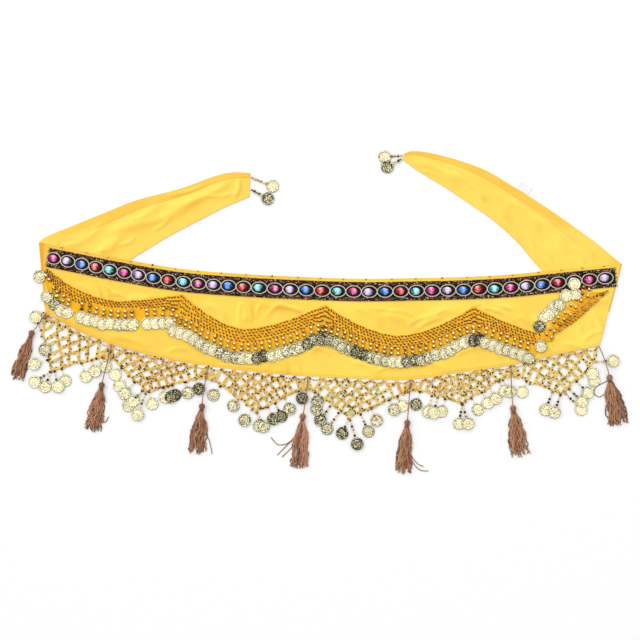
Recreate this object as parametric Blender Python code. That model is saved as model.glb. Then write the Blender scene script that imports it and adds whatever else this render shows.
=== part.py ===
"""Belly dance hip scarf, laid out flat on a surface.

A long crescent panel of soft cloth carries a gem ribbon, a scalloped crochet band
with coins, a knotted net in six points with coins, and seven tassels. Each end of
the panel folds back under itself and runs on as a tie. +X runs along the scarf,
+Y towards the ties, +Z up, and the floor is z = 0. Tables are in millimetres.
"""
import math

import bmesh
import bpy
from mathutils import Matrix, Vector

MM = 0.001

# The middle of the whole outline in the tables' own millimetres
MIDDLE_X = 0.8
MIDDLE_Y = 0.0

# Walls and clearances
CLOTH = 1.2 * MM
SEAM = 0.3 * MM
TRIM = 1.0 * MM
YARN = 2.2 * MM
NET_WALL = 1.5 * MM
HEM_RAISE = 0.6 * MM

# Coins and their hanging threads
COIN_RADIUS = 10.0 * MM
COIN_WALL = 1.2 * MM
COIN_SIDES = 7
COIN_LEVELS = 3
LEVEL_STEP = 0.5 * MM
BACKING_LOW = 0.15 * MM
THREAD_RADIUS = 0.55 * MM
THREAD_SIDES = 3
THREAD_INTO_COIN = 0.7

# The panel's sections from the left fold to the right one:
# x and y of the top edge, then x and y of the lower one
PANEL = (
    (-447, 112, -437, 0),
    (-382, 99, -382, -30),
    (-318, 86, -318, -55),
    (-222, 70, -222, -78),
    (-126, 62, -126, -92),
    (-30, 57, -30, -101),
    (66, 54, 66, -106),
    (148, 55, 148, -107),
    (236, 57, 230, -95),
    (310, 61, 300, -85),
    (387, 69, 375, -68),
    (483, 78, 448, -53),
)
PANEL_CELLS = 33
PANEL_ROWS = 3
FOLD_OPENING = 0.0005
EDGE_STEPS = 200

# Where the panel rises over each tie: x at full height and x back on the floor
RISES = ((-290, -170), (345, 225))

# The ties' sections from the tip to the fold:
# x and y of the upper edge, then x and y of the lower one
TIE_LEFT = (
    (-110, 223, -111, 186),
    (-139, 224, -126, 179),
    (-170, 217, -152, 168),
    (-222, 198, -191, 148),
    (-290, 180, -242, 121),
    (-339, 161, -298, 87),
    (-393, 139, -358, 54),
    (-437, 121, -414, 25),
    (-447, 112, -438, 12),
)
TIE_RIGHT = (
    (135, 253, 134, 245),
    (149, 258, 149, 233),
    (178, 255, 174, 217),
    (224, 243, 205, 198),
    (269, 226, 242, 173),
    (311, 201, 278, 148),
    (354, 174, 317, 113),
    (401, 142, 355, 69),
    (445, 110, 405, 26),
    (483, 78, 463, 2),
)
TIE_CELLS = 20
FOLD_CELLS = 4
TIE_ACROSS = (0.0, 0.2, 0.24, 0.62, 1.0)
HEM_SHARE = 0.22
HEM_END = 0.72

# The gem ribbon, measured down from the panel's top edge
RIBBON_INSET = 5.4 * MM
RIBBON_WIDTH = 30.6 * MM
RIBBON_START = 19 * MM
RIBBON_END = 11.5 * MM
RIBBON_STEPS = 120
RIBBON_SPAN = 10 * MM
RIBBON_CELLS = 33

# The gems lie closer at the left: number of a gem and its x, with even steps between
GEM_PLACES = ((0, -424.2), (6, -288.3), (13, -120.6), (36, 457.6))
GEM_LENGTH = 16 * MM
GEM_WIDTH = 11.5 * MM
GEM_HEIGHT = 2.4 * MM
GEM_TOP = 0.6
GEM_SIDES = 6

# The crochet band's sewn edge: its peaks as x and y, and the low point after each
# of them as x, y and how sharply the edge curves before and after it
PEAKS = ((-434, 69), (-218, 29), (10, 13), (247, 10), (461, 34))
LOWS = (
    (-314, 18, 1.9, 1.4),
    (-117, -26, 1.7, 1.6),
    (127, -37, 1.7, 1.7),
    (372, -36, 1.5, 1.35),
)
TURN_X = 356
TURNED_START_X = 379
BAND_WIDTH = 19.5 * MM
BAND_CELLS = 46
BAND_STEPS = 300
TURNED_CELLS = 8
BEAD_EDGE_WIDTH = 13 * MM
TURNED_TAPER = 0.85
TURNED_TIP = 1.0 * MM
COIN_REACH = 42 * MM
COIN_PITCH = 12 * MM

# The two coins before the row, and the bare lengths at the ends of the row and of the
# turned beaded edge
FIRST_COINS = ((-446, 58), (-434.5, 25.5))
FIRST_COIN_HEIGHT = 1.15 * MM
ROW_START_BARE = 48 * MM
ROW_END_BARE = 9 * MM
TURNED_EDGE_BARE = 34 * MM
TURNED_EDGE_STOP = 6 * MM

# The coin at the turn
TURN_COIN = (354, -54)
TURN_COIN_HEIGHT = 1.2 * MM

# The turned row of coins: its two ends, and the height of each coin's underside.
# It starts on top of the ribbon and its gem, and ends on top of the band.
TURNED_ROW_START = (407, 46)
TURNED_ROW_END = (352, -22)
TURNED_HEIGHTS = (4.35, 3.3, 2.2, 1.1, 0.5, 0.0, 0.5, 1.0, 1.35)
NORMAL_SPAN = 26 * MM

# The crochet is narrower at its start: x of its start and of its full width, and the
# share of the width at the start
START_X = (-434, -395)
START_SHARE = 0.45

# How far the crochet and its coins reach, as a share of their widths at x
REACH_SHARES = ((-385, 1.0), (-360, 0.9), (-290, 0.9), (-235, 0.97), (-190, 1.1), (-50, 1.13),
                (0, 1.03), (240, 1.0))

# The crochet is wider below each inner peak
PEAK_FILL = 12 * MM
PEAK_SPAN = 36 * MM
BARE_X = (-386, -286)
BARE_HALF = 6

# The net: x of the junctions along the panel's lower edge, and the six points as
# their number of cells and the tip's x and y
JUNCTION_X = (-436, -331, -176, -18, 146, 307, 447)
POINTS = (
    (6, -427, -92),
    (8, -276, -125),
    (8, -101, -157),
    (8, 48, -167),
    (8, 229, -143),
    (7, 388, -129),
)
JUNCTION_MARGIN = 2.0 * MM
SIDE_DEPTH = 0.25

# Where the coins of each point lie on the floor, as x and y
POINT_COINS = (
    ((-453, -7), (-438, -59), (-455, -82), (-455, -111), (-438, -118), (-417, -118),
     (-406, -109), (-373, -102), (-358, -93), (-341, -86)),
    ((-326, -99), (-319, -117), (-311, -129), (-305, -149), (-297, -141), (-290, -163),
     (-267, -146), (-246, -135), (-237, -135), (-230, -132), (-210, -128), (-192, -122)),
    ((-169, -132), (-137, -149), (-119, -172), (-96, -181), (-89, -182), (-73, -170),
     (-60, -166), (-47, -154), (-27, -137)),
    ((-3, -142), (-4, -154), (2, -172), (13, -186), (37, -193), (61, -210),
     (79, -190), (92, -172), (120, -155), (133, -149)),
    ((155, -147), (174, -158), (183, -160), (196, -158), (224, -177), (238, -177),
     (254, -155), (270, -144), (282, -137), (297, -125), (305, -126)),
    ((325, -127), (362, -155), (376, -159), (419, -155), (420, -142), (429, -128),
     (440, -109), (437, -97), (470, -77)),
)
CHAIN_WIDTH = 2.0 * MM
COIN_CLEARANCE = 0.8 * MM
SEARCH_STEPS = 80
EDGE_SPAN = 10 * MM

# The tassels: x and y of the head and of the middle of the foot, and the foot's width
TASSELS = (
    (-459, -33, -484, -108, 23),
    (-347, -116, -363, -190, 26),
    (-187, -150, -197, -227, 30),
    (-26, -166, -32, -249, 32),
    (141, -176, 135, -258, 25),
    (310, -153, 321, -231, 29),
    (464, -104, 480, -181, 33),
)
HEAD_RADIUS = 4.6 * MM
HEAD_SIDES = 8
HEAD_RINGS = 6
FLOOR_CLEARANCE = 0.1 * MM
CORD_RADIUS = 0.8 * MM
CORD_HEIGHT = 3.4 * MM
CORD_RISE = 11 * MM
CORD_SIDES = 5
CORD_OVERLAP = 0.08
NECK_LENGTH = 12 * MM
NECK_START_HALF_WIDTH = 2.76 * MM
NECK_HALF_WIDTH = 5.2 * MM
NECK_BOTTOM = 0.2 * MM
NECK_TOP = 4.1 * MM
NECK_SQUARE = 0.4
NECK_SIDES = 8
STRAND_LAYERS = 3
STRANDS_A_LAYER = 5
STRAND_RADIUS = 0.6 * MM
STRAND_SPACING = 1.75 * MM
LAYER_STEP = 1.15 * MM
FIRST_LAYER = 0.85 * MM
STRAND_SIDES = 3
STRAND_TAPER = 0.8
LAYER_SHIFT = 0.3
STRAND_FROM_NECK = 0.75

# How much shorter single strands end, as a share of the tassel
STRAND_UNEVEN = 0.04

# The coins on threads at the ties' tips: x and y of each start and of each coin
TIP_THREAD_RADIUS = 0.6 * MM
BAR_SIDES = 4
TIP_DROPS_LEFT = ((-109, 216, -74, 202), (-109, 197, -82, 182))
TIP_DROPS_RIGHT = ((133.8, 251, 105, 249), (133.2, 246, 109, 233))

# The blank label at the right tie's upper edge
LABEL_X = 329
LABEL_Y = 198.8
LABEL_LENGTH = 20 * MM
LABEL_WIDTH = 14 * MM
LABEL_WALL = 1.0 * MM
LABEL_TURN = -0.565

COLOURS = {
    "cloth": ((0.95, 0.58, 0.09), 0.75, 0.0),
    "hemmed cloth": ((0.95, 0.60, 0.11), 0.75, 0.0),
    "crochet": ((0.93, 0.42, 0.03), 0.8, 0.0),
    "net yarn": ((0.90, 0.55, 0.08), 0.8, 0.0),
    "gem ribbon": ((0.10, 0.06, 0.04), 0.5, 0.0),
    "coin": ((0.83, 0.75, 0.48), 0.3, 1.0),
    "tassel": ((0.38, 0.19, 0.10), 0.85, 0.0),
    "label": ((0.9, 0.9, 0.88), 0.7, 0.0),
}


def clear_scene():
    """Remove what the file starts with."""
    for old in list(bpy.data.objects):
        bpy.data.objects.remove(old)


def material(name):
    """A plain material from the colour table."""
    found = bpy.data.materials.get(name)
    if found:
        return found
    colour, roughness, metallic = COLOURS[name]
    made = bpy.data.materials.new(name)
    made.use_nodes = True
    shader = made.node_tree.nodes["Principled BSDF"]
    shader.inputs["Base Color"].default_value = (*colour, 1.0)
    shader.inputs["Roughness"].default_value = roughness
    shader.inputs["Metallic"].default_value = metallic
    return made


def collection(name):
    """A collection of the scene, made when it is first asked for."""
    found = bpy.data.collections.get(name)
    if not found:
        found = bpy.data.collections.new(name)
        bpy.context.scene.collection.children.link(found)
    return found


def place(x, y):
    """A point of the tables in metres, in the part's own frame."""
    return Vector(((x - MIDDLE_X) * MM, (y - MIDDLE_Y) * MM, 0.0))


def add_object(name, mesh, colour, group="Hip scarf"):
    """Put a mesh in the scene with its material."""
    made = bpy.data.objects.new(name, mesh)
    made.data.materials.append(material(colour))
    collection(group).objects.link(made)
    return made


def finish_mesh(bm, name):
    """Turn the faces outwards and keep the shape as a mesh."""
    bmesh.ops.recalc_face_normals(bm, faces=bm.faces)
    mesh = bpy.data.meshes.new(name)
    bm.to_mesh(mesh)
    bm.free()
    return mesh


def smooth_row(rows, share):
    """A row between the table's rows, on a smooth curve through all of them."""
    along = min(max(share, 0.0), 1.0) * (len(rows) - 1)
    index = min(int(along), len(rows) - 2)
    t = along - index
    before = rows[max(index - 1, 0)]
    start = rows[index]
    end = rows[index + 1]
    after = rows[min(index + 2, len(rows) - 1)]
    values = []
    for a, b, c, d in zip(before, start, end, after):
        bend = (2 * a - 5 * b + 4 * c - d) * t + (3 * b - a - 3 * c + d) * t * t
        values.append(b + 0.5 * t * ((c - a) + bend))
    return values


def smooth_step(share):
    """A soft rise from 0 to 1."""
    t = min(max(share, 0.0), 1.0)
    return t * t * (3 - 2 * t)


def lift(x):
    """Height of the panel's underside at x metres, over the ties and on the floor."""
    height = 0.0
    for full_x, flat_x in RISES:
        full = place(full_x, 0).x
        flat = place(flat_x, 0).x
        height = max(height, smooth_step((x - flat) / (full - flat)))
    return height * (CLOTH + SEAM)


def on_panel(point):
    """Raise a flat point to just clear of the panel's upper side."""
    return Vector((point.x, point.y, lift(point.x) + CLOTH + SEAM))


def shell(name, outer, inner, along, across, colour):
    """A wall between two surfaces, each a function of shares along and across."""
    bm = bmesh.new()
    columns = []
    for u in along:
        columns.append([(bm.verts.new(outer(u, v)), bm.verts.new(inner(u, v))) for v in across])
    for left, right in zip(columns, columns[1:]):
        for low, high in zip(range(len(across) - 1), range(1, len(across))):
            for side in (0, 1):
                corners = (left[low], right[low], right[high], left[high])
                bm.faces.new([corner[side] for corner in corners])
        for edge in (0, -1):
            bm.faces.new((left[edge][0], right[edge][0], right[edge][1], left[edge][1]))
    for column in (columns[0], columns[-1]):
        for low, high in zip(column, column[1:]):
            bm.faces.new((low[0], high[0], high[1], low[1]))
    return add_object(name, finish_mesh(bm, name), colour)


def shares(count, start=0.0, end=1.0):
    """Even shares from start to end, for a number of cells."""
    return [start + (end - start) * i / count for i in range(count + 1)]


def panel_plan(u, v):
    """The panel in plan: u along it, v from its top edge to its lower one."""
    top_x, top_y, low_x, low_y = smooth_row(PANEL, u)
    return place(top_x, top_y).lerp(place(low_x, low_y), v)


def panel_shares():
    """Shares along the panel, a little short of the folds at both ends."""
    return shares(PANEL_CELLS, FOLD_OPENING, 1 - FOLD_OPENING)


def panel():
    """The crescent panel, on the floor but for its ends."""
    def upper(u, v):
        point = panel_plan(u, v)
        return Vector((point.x, point.y, lift(point.x) + CLOTH))

    def under(u, v):
        point = panel_plan(u, v)
        return Vector((point.x, point.y, lift(point.x)))

    shell("panel", upper, under, panel_shares(), shares(PANEL_ROWS), "cloth")


def tie(name, rows):
    """A tie on the floor, which folds up and over at its end to meet the panel."""
    fold_start = smooth_row(rows, 1.0)
    upper_end = place(fold_start[0], fold_start[1])
    lower_end = place(fold_start[2], fold_start[3])
    along_fold = (lower_end - upper_end).normalized()
    outwards = Vector((-along_fold.y, along_fold.x, 0))
    if outwards.x * upper_end.x < 0:
        outwards.negate()
    centre_height = CLOTH + SEAM / 2

    def point(u, v, wall_side):
        row = smooth_row(rows, min(u, 1.0))
        flat = place(row[0], row[1]).lerp(place(row[2], row[3]), v)
        angle = max(u - 1.0, 0.0) * math.pi
        radius = centre_height if wall_side == "outer" else SEAM / 2
        flat += outwards * radius * math.sin(angle)
        flat.z = centre_height - radius * math.cos(angle)
        if wall_side == "inner" and v < HEM_SHARE and u < HEM_END:
            flat.z += HEM_RAISE
        return flat

    along = shares(TIE_CELLS) + shares(FOLD_CELLS, 1.0, 2.0)[1:]
    shell(name, lambda u, v: point(u, v, "outer"), lambda u, v: point(u, v, "inner"),
          along, TIE_ACROSS, "hemmed cloth")


def lengths(points):
    """The distance along a row of points, at each of them."""
    total = [0.0]
    for a, b in zip(points, points[1:]):
        total.append(total[-1] + (b - a).length)
    return total


def walk(points, distance):
    """The point at a distance along a row of points."""
    total = lengths(points)
    distance = min(max(distance, 0.0), total[-1])
    index = 0
    while index < len(points) - 2 and total[index + 1] < distance:
        index += 1
    step = total[index + 1] - total[index]
    return points[index].lerp(points[index + 1], (distance - total[index]) / step)


def side_of(points, distance, span):
    """The direction to the right of a row of points, evened out over a span."""
    ahead = walk(points, distance + span) - walk(points, distance - span)
    return Vector((ahead.y, -ahead.x, 0)).normalized()


def at_x(points, x):
    """The distance along a row of points at which it passes x metres."""
    total = lengths(points)
    for i, (a, b) in enumerate(zip(points, points[1:])):
        if a.x <= x <= b.x:
            return total[i] + (total[i + 1] - total[i]) * (x - a.x) / (b.x - a.x)
    return 0.0 if x < points[0].x else total[-1]


def ribbon_line():
    """The middle of the gem ribbon along the panel's top edge."""
    top = [panel_plan(u, 0) for u in shares(EDGE_STEPS)]
    whole = lengths(top)[-1]
    line = []
    for share in shares(RIBBON_STEPS):
        distance = RIBBON_START + (whole - RIBBON_START - RIBBON_END) * share
        inwards = side_of(top, distance, RIBBON_SPAN)
        line.append(walk(top, distance) + inwards * (RIBBON_INSET + RIBBON_WIDTH / 2))
    return line


def gem_distances(line):
    """Where each gem sits along the ribbon."""
    distances = []
    for (first, start_x), (last, end_x) in zip(GEM_PLACES, GEM_PLACES[1:]):
        for x in shares(last - first, start_x, end_x)[:-1]:
            distances.append(at_x(line, place(x, 0).x))
    distances.append(at_x(line, place(GEM_PLACES[-1][1], 0).x))
    return distances


def gem_ribbon():
    """The ribbon with its row of raised oval gems."""
    line = ribbon_line()
    whole = lengths(line)[-1]

    def surface(u, v, height):
        distance = whole * u
        across = side_of(line, distance, RIBBON_SPAN)
        point = on_panel(walk(line, distance) + across * RIBBON_WIDTH * (v - 0.5))
        point.z += height
        return point

    ribbon = shell("gem_ribbon", lambda u, v: surface(u, v, TRIM), lambda u, v: surface(u, v, 0),
                   shares(RIBBON_CELLS), shares(1), "gem ribbon")
    gems = bmesh.new()
    for distance in gem_distances(line):
        centre = on_panel(walk(line, distance))
        centre.z += TRIM / 2 + GEM_HEIGHT / 2
        across = side_of(line, distance, RIBBON_SPAN)
        turn = Matrix.Rotation(math.atan2(across.x, -across.y), 4, "Z")
        size = Matrix.Diagonal((GEM_LENGTH / 2, GEM_WIDTH / 2, GEM_HEIGHT, 1))
        bmesh.ops.create_cone(gems, cap_ends=True, segments=GEM_SIDES, radius1=1, radius2=GEM_TOP,
                              depth=1, matrix=Matrix.Translation(centre) @ turn @ size)
    join(ribbon, gems)


def join(base, bm):
    """Unite a set of overlapping closed shapes with the object that carries them."""
    cutter = add_object(base.name + "_added", finish_mesh(bm, base.name + "_added"),
                        base.data.materials[0].name, "Cutters")
    cutter.hide_render = True
    cutter.display_type = "WIRE"
    union = base.modifiers.new("Union", "BOOLEAN")
    union.operation = "UNION"
    union.solver = "EXACT"
    union.use_self = True
    union.object = cutter


def band_height(x):
    """The sewn edge of the crochet band at x, in the tables' millimetres."""
    for (left, right), low in zip(zip(PEAKS, PEAKS[1:]), LOWS):
        low_x, low_y, before, after = low
        if x <= low_x:
            return low_y + (left[1] - low_y) * max((low_x - x) / (low_x - left[0]), 0) ** before
        if x <= right[0]:
            return low_y + (right[1] - low_y) * ((x - low_x) / (right[0] - low_x)) ** after
    return PEAKS[-1][1]


def band_line(start_x, end_x):
    """The sewn edge of the crochet band between two places."""
    return [place(x, band_height(x)) for x in shares(BAND_STEPS, start_x, end_x)]


def reach_share(x):
    """How far the band reaches at x metres, as a share of its widths."""
    share = REACH_SHARES[0][1]
    for (start, before), (end, after) in zip(REACH_SHARES, REACH_SHARES[1:]):
        if x > place(start, 0).x:
            along = (x - place(start, 0).x) / ((end - start) * MM)
            share = before + (after - before) * smooth_step(along)
    return share


def beside(line, distance, reach):
    """A place at a reach from the sewn edge, wider below inner peaks, less at the start."""
    point = walk(line, distance)
    from_start = (point.x - place(START_X[0], 0).x) / ((START_X[1] - START_X[0]) * MM)
    reach *= START_SHARE + (1 - START_SHARE) * smooth_step(from_start)
    reach *= reach_share(point.x)
    if reach > 0:
        for x, y in PEAKS[1:-1]:
            near = max(1 - abs(point.x - place(x, y).x) / PEAK_SPAN, 0)
            reach += PEAK_FILL * smooth_step(near)
    return point + side_of(line, distance, NORMAL_SPAN) * reach


def offset_line(line, reach):
    """A line beside the sewn edge, evened out over its peaks."""
    whole = lengths(line)[-1]
    return [beside(line, whole * share, reach) for share in shares(EDGE_STEPS)]


def strip(name, line, near, far, cells, colour, low=0.0, high=TRIM, start=0.0, stop=0.0,
          taper=False):
    """A flat strip on the panel between two distances from a line."""
    whole = lengths(line)[-1] - start - stop

    def surface(u, v, height):
        distance = start + whole * u
        reach = near + (far - near) * v
        if taper:
            reach = min(reach, v * max(TURNED_TIP, distance * TURNED_TAPER))
        point = on_panel(beside(line, distance, reach))
        point.z += height
        return point

    return shell(name, lambda u, v: surface(u, v, high), lambda u, v: surface(u, v, low),
                 shares(cells), shares(1), colour)


def level(number):
    """Height of a coin's underside: the next of the levels on which neighbours overlap."""
    return LEVEL_STEP * (number % COIN_LEVELS)


def add_coin(bm, centre, bottom):
    """One coin with its underside at a height above a place."""
    place_it = Matrix.Translation(centre + Vector((0, 0, bottom + COIN_WALL / 2)))
    turn = Matrix.Rotation(math.pi / COIN_SIDES, 4, "Z")
    bmesh.ops.create_cone(bm, cap_ends=True, segments=COIN_SIDES, radius1=COIN_RADIUS,
                          radius2=COIN_RADIUS, depth=COIN_WALL, matrix=place_it @ turn)


def bead_edge(name, line, cells, start=0.0, stop=0.0):
    """The backing of the beads below a stretch of the crochet band."""
    inner = BAND_WIDTH + SEAM
    return strip(name, line, inner, inner + BEAD_EDGE_WIDTH, cells, "coin",
                 BACKING_LOW, COIN_WALL + BACKING_LOW, start, stop)


def band_coins(line):
    """The row of overlapping coins along the four scallops."""
    coins = bmesh.new()
    row = offset_line(line, COIN_REACH)
    count = int((lengths(row)[-1] - ROW_START_BARE - ROW_END_BARE) / COIN_PITCH)
    bare = [place(x, 0).x for x in BARE_X]
    for x, y in FIRST_COINS:
        add_coin(coins, on_panel(place(x, y)), FIRST_COIN_HEIGHT)
    for i in range(count + 1):
        centre = walk(row, ROW_START_BARE + COIN_PITCH * i)
        if all(abs(centre.x - x) > BARE_HALF * MM for x in bare):
            add_coin(coins, on_panel(centre), level(i))
    add_coin(coins, on_panel(place(*TURN_COIN)), TURN_COIN_HEIGHT)
    join(bead_edge("band_coins", line, BAND_CELLS), coins)


def turned_coins(line):
    """The coins of the turned stretch, whose ends lie on the ribbon and on the band."""
    coins = bmesh.new()
    start = place(*TURNED_ROW_START)
    end = place(*TURNED_ROW_END)
    for i, height in enumerate(TURNED_HEIGHTS):
        centre = start.lerp(end, i / (len(TURNED_HEIGHTS) - 1))
        add_coin(coins, on_panel(centre), height * MM)
    edge = bead_edge("band_coins_turned", line, TURNED_CELLS, TURNED_EDGE_BARE, TURNED_EDGE_STOP)
    join(edge, coins)


def crochet_band():
    """The band along its four scallops, and its last stretch, which is turned over."""
    line = band_line(PEAKS[0][0], TURN_X)
    turned = band_line(TURNED_START_X, PEAKS[-1][0])
    turned.reverse()
    strip("crochet_band", line, 0, BAND_WIDTH, BAND_CELLS, "crochet")
    strip("crochet_band_turned", turned, 0, BAND_WIDTH, TURNED_CELLS, "crochet", taper=True)
    band_coins(line)
    turned_coins(turned)


def lower_edge():
    """The panel's lower edge as its solid has it."""
    return [panel_plan(u, 1) for u in panel_shares()]


def net_stretch(number):
    """Start and end of a net point, as distances along the panel's lower edge."""
    edge = lower_edge()
    start = at_x(edge, place(JUNCTION_X[number], 0).x) + JUNCTION_MARGIN
    end = at_x(edge, place(JUNCTION_X[number + 1], 0).x) - JUNCTION_MARGIN
    return edge, start, end


def net_point(number, s, d):
    """A place in a net point: s along its top from 0 to 1, d from its top to its tip."""
    edge, start, end = net_stretch(number)
    header = SEAM + YARN / 2

    def hung(share):
        distance = start + (end - start) * share
        return walk(edge, distance) + side_of(edge, distance, EDGE_SPAN) * header

    tip = place(POINTS[number][1], POINTS[number][2])
    deepest = 1 - abs(2 * s - 1)
    depth = d * (SIDE_DEPTH / max(deepest, 0.01) + 1 - SIDE_DEPTH)
    return hung(s) + (tip - hung(0.5)) * depth


def shrink(corners, margin):
    """Move the sides of a convex outline inwards by a margin."""
    centre = sum(corners, Vector()) / len(corners)
    nearest = min(abs((b - a).cross(centre - a).z) / (b - a).length
                  for a, b in zip(corners, corners[1:] + corners[:1]))
    return [centre + (corner - centre) * (1 - margin / nearest) for corner in corners]


def net_holes(number):
    """The gaps of a net point: a row of arches, then rows of diamonds."""
    cells = POINTS[number][0]

    def crossing(row, column):
        return net_point(number, column / cells, row / cells)

    holes = []
    for i in range(cells):
        holes.append([crossing(0, i), crossing(0, i + 1), crossing(1, i + 0.5)])
    for row in range(cells - 1):
        for i in range(cells - 1 - row):
            middle = row / 2 + i + 1
            holes.append([crossing(row, middle), crossing(row + 1, middle + 0.5),
                          crossing(row + 2, middle), crossing(row + 1, middle - 0.5)])
    return [shrink(hole, YARN / 2) for hole in holes]


def net_sides(number, outwards):
    """A net point's two sides from the left root over the tip to the right root."""
    cells = POINTS[number][0]
    places = [net_point(number, r / cells / 2, r / cells) for r in range(cells + 1)]
    places += [net_point(number, 1 - r / cells / 2, r / cells) for r in range(cells - 1, -1, -1)]
    moved = []
    for i, point in enumerate(places):
        before = places[max(i - 1, 0)]
        after = places[min(i + 1, len(places) - 1)]
        run = (after - before).normalized()
        moved.append(point + Vector((run.y, -run.x, 0)) * outwards)
    return moved


def net(number):
    """One point of the net as a flat outline with its gaps cut through."""
    edge, start, end = net_stretch(number)
    total = lengths(edge)
    distances = [start] + [t for t in total if start < t < end] + [end]
    header = [walk(edge, t) + side_of(edge, t, SEAM) * SEAM for t in distances]
    outline = header + list(reversed(net_sides(number, YARN / 2)))
    curve = bpy.data.curves.new("net_%d" % (number + 1), "CURVE")
    curve.dimensions = "2D"
    curve.fill_mode = "BOTH"
    curve.extrude = NET_WALL / 2
    for ring in [outline] + net_holes(number):
        spline = curve.splines.new("POLY")
        spline.points.add(len(ring) - 1)
        for target, point in zip(spline.points, ring):
            target.co = (point.x, point.y, 0, 1)
        spline.use_cyclic_u = True
    curve.materials.append(material("net yarn"))
    made = bpy.data.objects.new(curve.name, curve)
    made.location.z = NET_WALL / 2
    collection("Hip scarf").objects.link(made)


def add_rod(bm, start, end, radius_start, radius_end, sides):
    """A straight thread or cord between two places."""
    run = end - start
    turn = run.to_track_quat("Z", "Y").to_matrix().to_4x4()
    where = Matrix.Translation((start + end) / 2) @ turn
    bmesh.ops.create_cone(bm, cap_ends=True, segments=sides, radius1=radius_start,
                          radius2=radius_end, depth=run.length, matrix=where)


def nearest_on(points, target):
    """The place on a row of points that lies nearest to a target, and its outer side."""
    whole = lengths(points)[-1]
    distances = [whole * share for share in shares(SEARCH_STEPS)]
    nearest = min(distances, key=lambda distance: (walk(points, distance) - target).length)
    return walk(points, nearest), side_of(points, nearest, EDGE_SPAN)


def net_coins(number):
    """The beaded chain around a net point, and the coins that hang from it."""
    name = "net_coins_%d" % (number + 1)
    near = net_sides(number, YARN / 2 + SEAM)[1:-1]
    far = net_sides(number, YARN / 2 + SEAM + CHAIN_WIDTH)[1:-1]
    middle = net_sides(number, YARN / 2 + SEAM + CHAIN_WIDTH / 2)[1:-1]
    steps = len(near) - 1

    def surface(u, v, height):
        index = round(u * steps)
        point = near[index].lerp(far[index], v)
        return Vector((point.x, point.y, height))

    chain = shell(name, lambda u, v: surface(u, v, COIN_WALL + BACKING_LOW),
                  lambda u, v: surface(u, v, BACKING_LOW), shares(steps), shares(1), "coin")
    drops = bmesh.new()
    for i, (x, y) in enumerate(POINT_COINS[number]):
        centre = place(x, y)
        root, outwards = nearest_on(middle, centre)
        beyond = (centre - root).dot(outwards)
        least = COIN_RADIUS + CHAIN_WIDTH / 2 + COIN_CLEARANCE
        centre += outwards * max(least - beyond, 0)
        add_coin(drops, centre + Vector((0, 0, FLOOR_CLEARANCE)), level(i))
        touch = centre - (centre - root).normalized() * COIN_RADIUS * THREAD_INTO_COIN
        root.z = BACKING_LOW + COIN_WALL / 2
        touch.z = level(i) + COIN_WALL / 2
        add_rod(drops, root, touch, THREAD_RADIUS, THREAD_RADIUS, THREAD_SIDES)
    join(chain, drops)


def squared(value):
    """Push a place on the unit circle out towards a square."""
    return math.copysign(abs(value) ** NECK_SQUARE, value)


def tassel(number):
    """A tassel: its cord from the panel's edge, round head, neck and strands."""
    head_x, head_y, foot_x, foot_y, foot_width = TASSELS[number]
    edge = lower_edge()
    distance = at_x(edge, place(JUNCTION_X[number], 0).x)
    root = walk(edge, distance) + side_of(edge, distance, EDGE_SPAN) * (SEAM + CORD_RADIUS)
    head = place(head_x, head_y)
    foot = place(foot_x, foot_y)
    run = (foot - head).normalized()
    across = Vector((-run.y, run.x, 0))

    bm = bmesh.new()
    bmesh.ops.create_cone(bm, cap_ends=True, segments=NECK_SIDES, radius1=1, radius2=1, depth=1)
    for vert in bm.verts:
        share = vert.co.z + 0.5
        middle = head + run * NECK_LENGTH * share
        half_width = NECK_START_HALF_WIDTH + (NECK_HALF_WIDTH - NECK_START_HALF_WIDTH) * share
        half_height = (NECK_TOP - NECK_BOTTOM) / 2
        height = (NECK_TOP + NECK_BOTTOM) / 2 + squared(vert.co.y) * half_height
        vert.co = middle + across * squared(vert.co.x) * half_width + Vector((0, 0, height))
    neck = add_object("tassel_%d" % (number + 1), finish_mesh(bm, "neck"), "tassel")

    added = bmesh.new()
    head_middle = head + Vector((0, 0, HEAD_RADIUS + FLOOR_CLEARANCE))
    bmesh.ops.create_uvsphere(added, u_segments=HEAD_SIDES, v_segments=HEAD_RINGS, radius=HEAD_RADIUS,
                              matrix=Matrix.Translation(head_middle))
    start = root + Vector((0, 0, CORD_RADIUS + SEAM + lift(root.x)))
    over = root + (head - root).normalized() * CORD_RISE + Vector((0, 0, CORD_HEIGHT))
    add_rod(added, start, over, CORD_RADIUS, CORD_RADIUS, CORD_SIDES)
    bend = over - (over - start) * CORD_OVERLAP
    add_rod(added, bend, head_middle, CORD_RADIUS, CORD_RADIUS, CORD_SIDES)
    for layer in range(STRAND_LAYERS):
        height = FIRST_LAYER + LAYER_STEP * layer
        for i in range(STRANDS_A_LAYER):
            aside = i - (STRANDS_A_LAYER - 1) / 2 + (layer % 2) * LAYER_SHIFT
            spread = aside / STRANDS_A_LAYER * foot_width * MM
            shorter = STRAND_UNEVEN * (1 + math.sin(7 * i + 5 * layer + 3 * number))
            begin = head + run * NECK_LENGTH * STRAND_FROM_NECK + across * STRAND_SPACING * aside
            end = foot - (foot - head) * shorter + across * spread
            add_rod(added, begin + Vector((0, 0, height)), end + Vector((0, 0, height)),
                    STRAND_RADIUS, STRAND_RADIUS * STRAND_TAPER, STRAND_SIDES)
    join(neck, added)


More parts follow.
